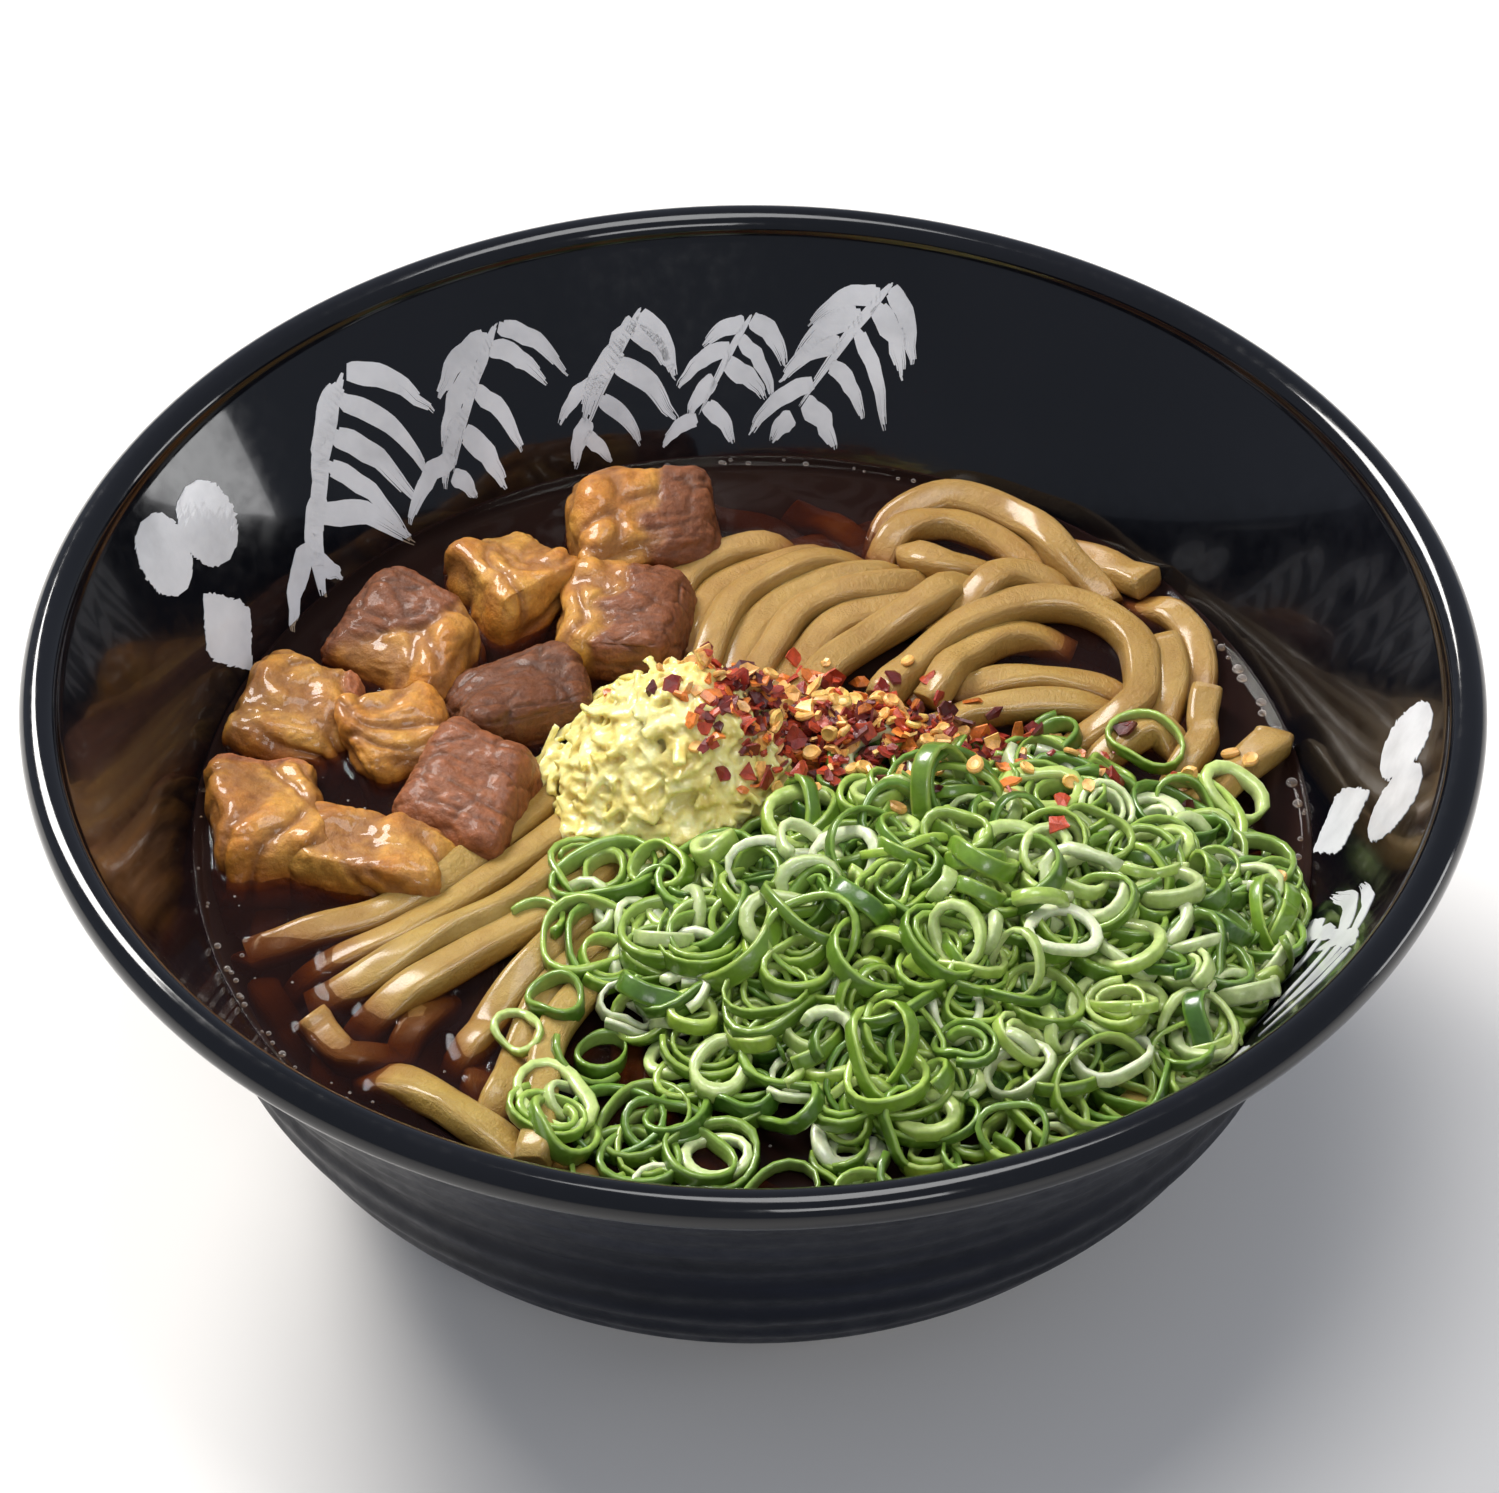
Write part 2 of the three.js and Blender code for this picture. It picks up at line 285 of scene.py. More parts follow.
def strip(turn, left, right):
    """A ribbon of paint between two lines of (across, height), closed down into the glaze."""
    rows = []
    for line, lift in ((left, PAINT_PROUD), (right, PAINT_PROUD), (right, -PAINT_SINK), (left, -PAINT_SINK)):
        rows.append(on_wall(turn, line[:, 0], line[:, 1], lift))
    base = sum(len(p) for p in paint_points)
    paint_points.append(np.stack(rows, 1).reshape(-1, 3))
    k = np.arange(len(left) - 1)[:, None] * 4 + base
    side = np.arange(4)
    after = (side + 1) % 4
    paint_faces.append(np.stack([k + side, k + after, k + 4 + after, k + 4 + side], 2).reshape(-1, 4))
    end = base + (len(left) - 1) * 4
    paint_faces.append(np.array([[base + 3, base + 2, base + 1, base], [end, end + 1, end + 2, end + 3]]))


def brush(turn, path, width, dry=0.3, bristles=9, taper=0.75):
    """One stroke of a flat brush, pressed in the middle; each bristle runs dry in its own place."""
    line = spline(path, 8)
    t = np.linspace(0, 1, len(line))
    along = np.gradient(line, axis=0)
    along /= np.linalg.norm(along, axis=1)[:, None] + 1e-9
    side = np.c_[-along[:, 1], along[:, 0]]
    belly = width * (0.12 + 0.88 * np.sin(np.pi * np.clip(t, 0, 1) ** taper) ** 0.8)
    wobble = 0.05 * width * np.interp(t, np.linspace(0, 1, 9), rng.normal(0, 1, 9))
    edges = np.linspace(-0.5, 0.5, bristles + 1)
    for j in range(bristles):
        edge = abs(edges[j] + edges[j + 1])
        stop = 1 - dry * (0.3 + 0.7 * edge) * rng.random()
        start = 0.1 * edge * rng.random()
        keep = (t >= start) & (t <= stop)
        if keep.sum() < 3:
            continue
        thin = 1 - 0.55 * rng.random() * np.clip((t - stop + 0.3) / 0.3, 0, 1)
        lo = edges[j] * belly + wobble
        hi = (edges[j] + (edges[j + 1] - edges[j]) * thin) * belly + wobble
        strip(turn, (line + side * hi[:, None])[keep], (line + side * lo[:, None])[keep])


def leaf(turn, across, height, long, lean, width):
    """A bamboo leaf brushed from its stalk to its tip; lean is its angle from straight right."""
    a, b = math.radians(lean), math.radians(lean - 26 * math.cos(math.radians(lean)))
    middle = (across + 0.5 * long * math.cos(a), height + 0.5 * long * math.sin(a))
    tip = (middle[0] + 0.55 * long * math.cos(b), middle[1] + 0.55 * long * math.sin(b))
    brush(turn, [(across, height), middle, tip], width, 0.25, 7, 0.6)


def spray(turn, low, high, wide, leaves):
    """A leaning stalk with leaves that hang to both sides, in a space of that height and width."""
    tall = high - low
    top, bend = (0.34 * wide, high - 0.05 * tall), (0.08 * wide, low + 0.62 * tall)
    stalk = spline([top, bend, (-0.3 * wide, low + 0.1 * tall)], 10)
    brush(turn, stalk[::3], 0.07 * wide, 0.2, 4, 1.0)
    for i in range(leaves):
        down = (i + 0.5) / leaves
        across, height = stalk[int(down * (len(stalk) - 1))]
        right = i % 2 == 0
        lean = rng.uniform(-58, -22) if right else rng.uniform(186, 232)
        long = wide * rng.uniform(0.46, 0.7) * (1 - 0.25 * abs(down - 0.4))
        room = (height - low) / max(0.2, -math.sin(math.radians(lean)))
        width = (1.9 + 0.045 * wide) * rng.uniform(0.8, 1.2)
        leaf(turn, across, height, max(4.0, min(long, room)), lean, width)


def blot(turn, across, height, half, corner):
    """A filled shape brushed in level strokes: corner 1 is a disc, 0 a diamond."""
    strokes = 22
    t = np.linspace(0, 1, 7)[:, None]
    levels = np.linspace(-1, 1, strokes + 1)
    for ends in zip(levels, levels[1:]):
        ragged = 0.035 * half * rng.normal(0, 1, 4)
        edges = []
        for y, (left, right) in zip(ends, (ragged[:2], ragged[2:])):
            disc = math.sqrt(max(0.0, 1 - y * y))
            diamond = min(1.0, 1.12 * (1 - abs(y)) + 0.05)
            reach = half * (corner * disc + (1 - corner) * diamond)
            start = np.array([across - reach + left, height + half * y])
            stop = np.array([across + reach + right, height + half * y])
            edges.append(start * (1 - t) + stop * t)
        strip(turn, *edges)


def pattern(start):
    """One run of the pattern, from its discs at the angle start and on to the right."""
    blot(start, 0, 74.5, 5.6, 1.0)
    blot(start - 6.6, 0, 72.5, 5.8, 1.0)
    blot(start - 1.5, 0, 60.2, 6.3, 0.0)
    for turn, low, high, wide, leaves in (
        (21, 54.6, 79.0, 30, 11),
        (38.5, 55.0, 77.5, 23, 9),
        (53, 55.0, 75.5, 20, 9),
        (64.5, 56.0, 73.5, 15, 8),
        (76, 56.0, 79.5, 22, 10),
    ):
        spray(start - turn, low, high, wide, leaves)


pattern(158)
pattern(-2)
silver, tree, shader = finish(
    "silver_overglaze", (0.72, 0.72, 0.73), roughness=0.32, coat_weight=0.5, coat_roughness=0.06
)
worn = ramp(
    tree, noise(tree, 70, 4, 0.6),
    (0.3, (0.52, 0.52, 0.53)), (0.55, (0.72, 0.72, 0.73)), (0.75, (0.82, 0.82, 0.83)),
)
drive(tree, shader, base_color=worn)
bumps(tree, shader, noise(tree, 1400, 3), 0.25, 0.0001)
points, faces = np.vstack(paint_points), [np.vstack(paint_faces)]
paint = make_mesh("painted_pattern", points, faces, [silver], smooth=False)
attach(paint, "root")

# ---------------------------------------------------------------------------------------------
# Noodles. Thick white-wheat udon, rolled and cut square, boiled soft and stained by the broth.
# They are laid in hanks that lie on the bed below, stand a few millimetres out of the broth
# and dive back into it; the cut ends are square. Each is about 5 mm wide and 4.5 mm thick.
# ---------------------------------------------------------------------------------------------
NOODLE_WIDE, NOODLE_THICK = 5.2, 4.5
rng = np.random.default_rng(5)
routes = []  # each: points, width, thickness


def strand(path, wide=NOODLE_WIDE, thick=NOODLE_THICK):
    """A noodle along a few (x, y, z) points."""
    line = spline(path, 16)
    run = np.concatenate([[0], np.cumsum(np.linalg.norm(np.diff(line, axis=0), axis=1))])
    even = np.linspace(0, run[-1], max(6, int(run[-1] / 1.6)))
    routes.append([np.stack([np.interp(even, run, line[:, k]) for k in range(3)], 1), wide, thick])


def hank(first, last, count, sway=0.5):
    """count noodles side by side, from the route of the first to the route of the last."""
    first, last = np.array(first, float), np.array(last, float)
    for i in range(count):
        t = i / max(count - 1, 1)
        stir = rng.normal(0, sway, first.shape) * (1, 1, 0.5)
        lift = np.array([0, 0, 0.55 * (-1) ** i])
        strand(
            first * (1 - t) + last * t + stir + lift,
            NOODLE_WIDE * rng.uniform(0.9, 1.1),
            NOODLE_THICK * rng.uniform(0.92, 1.06),
        )


# front left: four that comb out from under the ginger, three that turn to the front
hank(
    [(-28, 9, 52.5), (-37, -3, 53.5), (-46, -12, 53.6), (-55, -18, 53), (-65, -22, 51.4), (-73, -25, 47.5)],
    [(-9, 3, 54), (-20, -9, 55.3), (-30, -19, 55.6), (-40, -27, 55.5), (-50, -34, 54), (-58, -40, 49)],
    4,
)
hank(
    [(-6, -6, 54), (-16, -15, 55), (-25, -23, 55.4), (-32, -31, 54.8), (-37, -38, 52.6), (-41, -46, 48.5)],
    [(-5, -20, 54), (-16, -25, 55), (-23, -33, 55.4), (-28, -43, 55.4), (-30, -54, 55), (-31, -68, 54)],
    3,
)
strand(
    [(-55, -46, 49), (-49, -51, 53), (-43, -56, 54.3), (-37, -61, 54.2), (-30, -66, 53.6), (-22, -70, 52)],
    5.9, 4.1,
)
strand(
    [(-63, -36, 51.6), (-60, -41, 50.6), (-56, -46, 49.6), (-51, -45, 49.3), (-48, -39, 49.6),
     (-45, -33, 48.5)],
    5, 4.6,
)
strand([(-41, -42, 49), (-39, -49, 50.6), (-35, -54, 50.8), (-31, -57, 49.6), (-25, -58, 48)])
strand([(-47, -34, 46.5), (-46, -44, 47.6), (-44, -54, 47.4), (-40, -64, 46)])
strand([(-70, -12, 47), (-71, -24, 48.2), (-70, -36, 47.6), (-64, -48, 46)])
strand([(-60, -26, 46), (-62, -38, 46.6), (-58, -50, 46.4), (-48, -62, 46)])

# back: a combed hank that bends over to the right
hank(
    [(-13, 36, 51), (-13, 46, 53.2), (-10, 54, 54), (-3, 59, 53.8), (4, 60, 52), (11, 58, 48.5)],
    [(3, 20, 54), (10, 31, 55.4), (17, 39, 55.8), (25, 45, 55.4), (33, 49, 53.4), (41, 51, 49)],
    7,
)
strand([(8, 66, 47.4), (2, 70, 48.4), (-6, 72, 48.4), (-12, 76, 47)])
strand([(20, 62, 47.5), (12, 68, 49), (6, 74, 48.6)])
strand([(-4, 62, 47), (8, 64, 48.4), (18, 68, 48.6), (26, 74, 47.6)])

# back right: a hank folded over on itself, its loop open towards the rim
strand(
    [(20, 26, 54.5), (25, 34, 55.4), (31, 41, 55.6), (38, 45.5, 55.6), (46, 47, 55.4), (53, 44, 55.4),
     (58, 37, 55.4), (58.5, 29, 55.2), (55, 22.5, 54.6), (48, 17, 53)],
    5.2, 4.7,
)
strand([(26, 25, 54.6), (31, 33, 55), (36, 39, 54.8), (42, 41, 53.6), (48, 40, 50)], 5, 4.6)
strand([(26, 42, 53), (31, 47.5, 54.4), (37, 52, 54.8), (43, 53, 54.2), (49, 50, 51.6), (53, 46, 49)])
strand([(22, 27, 53), (33, 30.5, 54), (43, 31, 54.2), (51, 29.5, 53.6), (57, 27, 51)], 4.9, 4.3)
strand([(26, 22, 54), (37, 24.5, 54.8), (45, 25.5, 54.8), (52, 25, 53.6), (57, 23, 51.4)], 4.9, 4.3)
strand(
    [(19, 60, 49), (22, 67.5, 52.8), (29, 71.5, 54.6), (37, 69, 55), (44, 62.5, 55), (50, 55, 54.4),
     (54, 49, 51.5)],
    5.3, 4.6,
)
strand([(18, 56, 49), (22, 63, 52.8), (29, 66, 54.2), (36, 63, 54), (42, 57.5, 53), (48, 53, 50.5)])
strand([(23, 64, 52), (23.5, 58.5, 54.3), (27, 54.5, 55), (33, 53, 54.4), (39, 54, 51)], 5.1, 4.6)
strand([(38, 66, 50), (46, 61.5, 53), (53, 56.5, 54), (60.5, 51, 54)], 6.1, 4)
strand(
    [(57, 55, 50), (61.5, 49, 53.4), (65.5, 42, 54), (67, 34, 53.6), (66, 26, 51.5), (63, 18, 49)], 4.9, 4.4
)
strand([(62.6, 40, 54.2), (62.6, 33, 54.6), (61.6, 26, 54), (59, 18, 51)], 5, 4.6)
strand([(67.4, 27.5, 55.4), (66.4, 21, 55), (64.6, 14, 53.6), (61, 6, 52)], 4.9, 4.4)
strand([(50, 13, 52.6), (54, 18.5, 54.6), (60, 19.5, 54.8), (65, 14.5, 53.4), (67, 8, 50)], 4.9, 4.3)

# right edge: a flat cut end, then a loop against the wall and one that runs back to the front
strand([(78, 18, 55.6), (72, 11, 55.8), (65, 3, 55.4), (56, -6, 54)], 6.3, 4.1)
strand(
    [(60, -34, 53), (64.5, -26, 54.8), (66.5, -18, 55.4), (71, -13, 55.4), (75.5, -15, 55),
     (76, -22, 54.2), (72, -31, 52)],
    4.9, 4.4,
)
strand(
    [(70, -18, 53), (70, -28, 54.4), (68, -38, 54.6), (64, -47, 54.4), (58, -55, 53.6), (50, -62, 51)], 5, 4.4
)
strand([(74, -2, 49), (76, -10, 50.5), (76, -20, 49.6), (72, -34, 48.4)])
strand([(60, -44, 52), (56, -56, 53.6), (46, -64, 54), (34, -69, 53.4), (20, -72, 51)])
strand([(-18, -42, 48), (-14, -53, 49.6), (-8, -62, 49.4), (2, -69, 48.4), (12, -72, 47)])

# the bed that these lie on: seen only as brown shapes deep in the broth
for i in range(20):
    turn = 2 * math.pi * i * 0.381966
    out = 14 + 56 * ((i * 0.618) % 1) ** 0.6
    x, y = out * math.cos(turn), out * math.sin(turn)
    lean = turn + math.pi / 2 + rng.normal(0, 0.5)
    long = rng.uniform(26, 40)
    bend = rng.uniform(-7, 7)
    c, s = math.cos(lean), math.sin(lean)
    line = []
    for t in (-1, -0.5, 0, 0.5, 1):
        ahead, aside = t * long, bend * (1 - t * t)
        line.append((x + ahead * c - aside * s, y + ahead * s + aside * c, 46 - 1.6 * t * t))
    strand([spot for spot in line if math.hypot(*spot[:2]) < 76] or line[1:4])


LOWEST, HIGHEST = 43.6, 56.2  # middle lines of the noodles


def spread_out(rounds=14, room=4.8):
    """Moves noodles that lie in the same place apart, mostly up and down, then smooths them."""
    for _ in range(rounds):
        every = np.vstack([r[0] for r in routes])
        owner = np.concatenate([np.full(len(r[0]), i) for i, r in enumerate(routes)])
        away = np.zeros_like(every)
        for start in range(0, len(every), 600):
            part = slice(start, start + 600)
            apart = every[part, None] - every[None]
            far = np.linalg.norm(apart, axis=2)
            near = (far < room) & (owner[part, None] != owner[None]) & (far > 1e-6)
            push = np.where(near, (room - far) / np.maximum(far, 0.4), 0)[..., None] * apart
            away[part] = 0.32 * push.sum(1) / np.maximum(1, near.sum(1))[:, None]
        at = 0
        for route in routes:
            n = len(route[0])
            step = away[at : at + n] * (0.8, 0.8, 1.0)
            for _ in range(3):
                step[1:-1] = (step[:-2] + 2 * step[1:-1] + step[2:]) / 4
            line = route[0] + step
            line[:, 2] = np.clip(line[:, 2], LOWEST, HIGHEST)
            out = np.linalg.norm(line[:, :2], axis=1)
            most = wall_at(line[:, 2]) - 3.4
            line[:, :2] *= np.minimum(1, most / np.maximum(out, 1e-6))[:, None]
            route[0] = line
            at += n


for route in routes:
    route[0][:, 2] -= 0.8  # they settle into the broth
spread_out()


def unsteady(count, knots):
    """Random values that wander smoothly from one to the next of count."""
    return np.interp(np.linspace(0, 1, count), np.linspace(0, 1, knots), rng.normal(0, 1, knots))


def rounded(angle, square):
    """Outline of a section from -1 to 1: square 2 is a circle, higher is squarer."""
    c, s = np.cos(angle), np.sin(angle)
    return np.sign(c) * np.abs(c) ** (2 / square), np.sign(s) * np.abs(s) ** (2 / square)


def tube(path, wide, thick, sides=16, square=4.2, twist=0.25):
    """Points and faces of a noodle: a rounded square section along the path, with cut ends."""
    ahead = np.gradient(path, axis=0)
    ahead /= np.linalg.norm(ahead, axis=1)[:, None]
    side = np.cross(ahead, (0, 0, 1.0))
    side /= np.linalg.norm(side, axis=1)[:, None] + 1e-9
    over = np.cross(side, ahead)
    n = len(path)
    lean = twist * unsteady(n, 6)
    c, s = np.cos(lean)[:, None], np.sin(lean)[:, None]
    side, over = side * c + over * s, over * c - side * s
    sect_x, sect_y = rounded(full_turn(sides) + np.pi / sides, square)
    swell = 1 + 0.035 * unsteady(n, max(4, n // 4))
    bevel = ahead * 0.12  # a cut end is a little smaller than the noodle
    centre = np.vstack([path[:1], path[:1] + bevel[:1], path[1:-1], path[-1:] - bevel[-1:], path[-1:]])
    size = np.concatenate([[0.8, 0.97], swell[1:-1], [0.97, 0.8]])
    pick = np.concatenate([[0, 0], np.arange(1, n - 1), [n - 1, n - 1]])
    rings = (
        centre[:, None]
        + side[pick][:, None] * (sect_x[None, :, None] * size[:, None, None] * wide / 2)
        + over[pick][:, None] * (sect_y[None, :, None] * size[:, None, None] * thick / 2)
    )
    points = np.vstack([rings.reshape(-1, 3), [path[0] - ahead[0] * 0.1], [path[-1] + ahead[-1] * 0.1]])
    return points, *closed_rows(len(centre), sides, 0, len(points) - 2, len(points) - 1)


def along_tube(path, wide, thick, sides=16):
    """For each point of a tube: millimetres along it, and across its cut face."""
    run = np.concatenate([[0], np.cumsum(np.linalg.norm(np.diff(path, axis=0), axis=1))])
    run = run[np.concatenate([[0, 0], np.arange(1, len(run) - 1), [len(run) - 1] * 2])]
    turn = full_turn(sides) + np.pi / sides
    grid = np.stack(np.broadcast_arrays(run[:, None], wide / 2 * np.cos(turn), thick / 2 * np.sin(turn)), 2)
    return np.vstack([grid.reshape(-1, 3), [(run[0], 0, 0), (run[-1], 0, 0)]])


def gather(shapes):
    """Many (points, quads, triangles) as one set."""
    points, quads, caps, base = [], [], [], 0
    for p, q, c in shapes:
        points.append(p)
        quads.append(q + base)
        caps.append(c + base)
        base += len(p)
    return np.vstack(points), [np.vstack(quads), np.vstack(caps)]


def times(tree, one, other):
    """Two colours multiplied."""
    mix = add(tree, "Mix", {"Factor": 1.0}, data_type="RGBA", blend_type="MULTIPLY")
    tree.links.new(one, mix.inputs["A"])
    tree.links.new(other, mix.inputs["B"])
    return [o for o in mix.outputs if o.type == "RGBA"][0]


def own_tint(tree):
    """The colour that each point of a piece was given."""
    return add(tree, "Attribute", attribute_name="tint").outputs


def over_broth(tree, low, high, to_low, to_high):
    """A value by height: to_low at low and to_high at high, in millimetres over the broth."""
    height = add(tree, "SeparateXYZ", {"Vector": place(tree)}).outputs["Z"]
    return remap(tree, height, (BROTH_LEVEL + low) * MM, (BROTH_LEVEL + high) * MM, to_low, to_high)


def sunk(tree, color):
    """A colour as it looks wetted by the broth, then seen through it: browner and darker with depth, painted
    shade for the light that the broth takes up.
    """
    # a wetting stain just over the broth's surface, and painted shade under it that deepens to near black
    stain_and_depth_shade = ramp(
        tree, over_broth(tree, 4, -8, 0, 1),
        (0.08, (1, 1, 1)), (0.19, (0.94, 0.86, 0.74)), (0.27, (0.76, 0.57, 0.37)),
        (0.333, (0.47, 0.26, 0.12)), (0.42, (0.25, 0.1, 0.041)), (0.52, (0.115, 0.041, 0.018)),
        (0.7, (0.038, 0.014, 0.008)), (1.0, (0.012, 0.005, 0.004)),
    )
    return times(tree, color, stain_and_depth_shade)


def dry(tree, full):
    """A strength that a surface has in the air and loses under the broth."""
    return over_broth(tree, -0.9, 0.6, 0, full)


boiled_wheat, tree, shader = finish(
    "boiled_wheat", (0.36, 0.25, 0.06),
    roughness=0.38, specular_ior_level=0.35, coat_weight=0.45, coat_roughness=0.17,
    subsurface_weight=0.28, subsurface_scale=0.002, subsurface_radius=(1.0, 0.6, 0.25),
)
lay = add(tree, "Attribute", attribute_name="lay").outputs["Vector"]
streak = noise(tree, 1.0, 4, 0.6, at=lay, stretch=(0.2, 1.1, 1.1))
cloud = noise(tree, 150, 5, 0.6)
cloud = ramp(tree, cloud, (0.3, (0.84, 0.77, 0.66)), (0.55, (1, 1, 1)), (0.75, (1.1, 1.12, 1.2)))
fibre = ramp(tree, streak, (0.32, (0.93, 0.9, 0.85)), (0.52, (1, 1, 1)), (0.72, (1.04, 1.04, 1.05)))
fine = noise(tree, 1.0, 5, 0.72, at=lay, stretch=(1.3, 1.7, 1.7))
drive(
    tree, shader,
    base_color=sunk(tree, times(tree, times(tree, own_tint(tree)["Color"], cloud), fibre)),
    roughness=remap(tree, fine, 0.3, 0.7, 0.28, 0.52),
    coat_weight=dry(tree, 0.45),
    specular_ior_level=dry(tree, 0.35),
)
relief = add(tree, "Math", {0: streak, 1: 0.7, 2: fine}, operation="MULTIPLY_ADD").outputs[0]
bumps(tree, shader, relief, 0.75, 0.0006)

PALE_WHEAT, DARK_WHEAT = np.array([0.44, 0.29, 0.068]), np.array([0.405, 0.235, 0.058])
points, faces = gather([tube(*route) for route in routes])
tint, lay = [], []
for i, route in enumerate(routes):
    rows = along_tube(*route)
    # each noodle a little darker the farther back in the bowl it lies, with a spread of its own
    darker_to_back = np.clip(0.42 + route[0][:, 1].mean() / 85 + rng.normal(0, 0.13), 0, 1)
    tint.append(np.tile(PALE_WHEAT + (DARK_WHEAT - PALE_WHEAT) * darker_to_back, (len(rows), 1)))
    lay.append(rows + (90.0 * i, 7.0 * i, 0))
noodles = make_mesh("noodle_strands", points, faces, [boiled_wheat], tint=np.vstack(tint))
noodles.data.attributes.new("lay", "FLOAT_VECTOR", "POINT").data.foreach_set("vector", np.vstack(lay).ravel())
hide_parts("noodles")
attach(noodles, "root")

# ---------------------------------------------------------------------------------------------
# Beef. Shin stewed until soft, cut in cubes: lean faces show the bundles of the meat with the
# seams between them, the fat and sinew are golden, swollen and folded. Half of each cube lies
# under the broth.
# ---------------------------------------------------------------------------------------------
from mathutils import noise as value_noise

# middle x, y; length, width, height; turn and tip in degrees; where the lean lies (a direction
# across the cube), how much of it is lean, and how dark the lean is
CUBES = {
    "beef_1": ((-17, 64.1), (23, 20, 25), 12, 12, (1.0, -0.2, 0.2), 0.4, 0.85),
    "beef_2": ((-36, 51.6), (18, 18, 18), 35, -6, (0, 1, 0), 0.02, 0.4),
    "beef_3": ((-20, 42.1), (21, 19, 19), -4, 3, (1.0, -0.35, 0.1), 0.52, 0.8),
    "beef_4": ((-52, 37.6), (22, 18, 18), -32, 5, (-0.8, 0.6, 0.3), 0.42, 0.85),
    "beef_5": ((-35.5, 26.1), (22, 18, 16), 24, -8, (0.3, 0.2, 1.0), 0.95, 1.12),
    "beef_6": ((-67.5, 23.6), (18, 19, 15), -18, 6, (0.6, 0.8, 0), 0.16, 0.3),
    "beef_7": ((-52.5, 17.6), (17, 16, 16), 20, 0, (0.5, -0.5, 0.5), 0.12, 0.6),
    "beef_8": ((-71, -0.4), (15, 23, 16), 6, -5, (0, 1, 0), 0.04, 0.2),
    "beef_9": ((-41.5, 5.6), (20, 21, 18), -28, 8, (0.9, 0.5, 0.4), 0.85, 0.62),
    "beef_10": ((-55, -7.9), (27, 14, 16), -14, -4, (0.2, 1, 0.3), 0.1, 0.6),
}


def cube_skin(cuts):
    """Points of a cube from -1 to 1 with cuts by cuts squares on each face."""
    line = np.linspace(-1, 1, cuts + 1)
    u, v = np.meshgrid(line, line, indexing="ij")
    k = np.arange(cuts)
    i, j = np.meshgrid(k, k, indexing="ij")
    a = (i * (cuts + 1) + j).ravel()
    square = np.stack([a, a + cuts + 1, a + cuts + 2, a + 1], 1)
    points, faces = [], []
    for axis in range(3):
        for sign in (-1, 1):
            p = np.zeros((u.size, 3))
            p[:, axis] = sign
            p[:, (axis + 1) % 3] = u.ravel()
            p[:, (axis + 2) % 3] = v.ravel()
            faces.append((square if sign > 0 else square[:, ::-1]) + len(points) * u.size)
            points.append(p)
    points, back = np.unique(np.round(np.vstack(points), 6), axis=0, return_inverse=True)
    return points, back.ravel()[np.vstack(faces)]


def face_normals(points, quads):
    """Outward direction at each point of a skin."""
    across = np.cross(points[quads[:, 2]] - points[quads[:, 0]], points[quads[:, 3]] - points[quads[:, 1]])
    out = np.zeros_like(points)
    for k in range(4):
        np.add.at(out, quads[:, k], across)
    return out / (np.linalg.norm(out, axis=1)[:, None] + 1e-12)


def field(points, scale, seed=0.0):
    """Smooth noise from -1 to 1 at each point; scale is per millimetre, one number or three."""
    q = points * scale + seed
    return np.array([value_noise.noise(p) for p in q.tolist()])


def seams(points, scale, seed=0.0):
    """0 on the seams between the cells that fill space, rising towards their middles."""
    q = (points * scale + seed).tolist()
    gap = np.empty(len(q))
    for i, p in enumerate(q):
        near = value_noise.voronoi(p)[0]
        gap[i] = near[1] - near[0]
    return gap


def creases(points, scale, seed, narrow=4.5):
    """1 in narrow creases that wander about, as in jelly and sinew, 0 on the swellings between."""
    wander = np.stack([field(points, 0.5 * scale, seed + 31 * k) for k in range(3)], 1)
    return np.exp(-((narrow * field(points * scale + 1.3 * wander, 1.0, seed + 7)) ** 2))


stewed_meat, tree, shader = finish(
    "stewed_meat", (0.2, 0.09, 0.04),
    roughness=0.5, specular_ior_level=0.3, coat_weight=0.5, coat_roughness=0.09,
    subsurface_weight=0.16, subsurface_scale=0.002, subsurface_radius=(1.0, 0.45, 0.2),
)
own = own_tint(tree)
mottle = noise(tree, 520, 5, 0.7)
mottle = ramp(tree, mottle, (0.3, (0.7, 0.62, 0.54)), (0.55, (1, 1, 1)), (0.75, (1.18, 1.14, 1.04)))
wet = remap(tree, own["Alpha"], 0.25, 1.0, 0.12, 0.4)  # the fat is wetter than the lean
drive(
    tree, shader,
    base_color=sunk(tree, times(tree, own["Color"], mottle)),
    roughness=remap(tree, noise(tree, 500, 4), 0.3, 0.7, 0.36, 0.66),
    coat_weight=add(tree, "Math", {0: wet, 1: dry(tree, 1)}, operation="MULTIPLY").outputs[0],
    specular_ior_level=dry(tree, 0.3),
)
bumps(tree, shader, noise(tree, 430, 6, 0.66), 0.7, 0.0008)

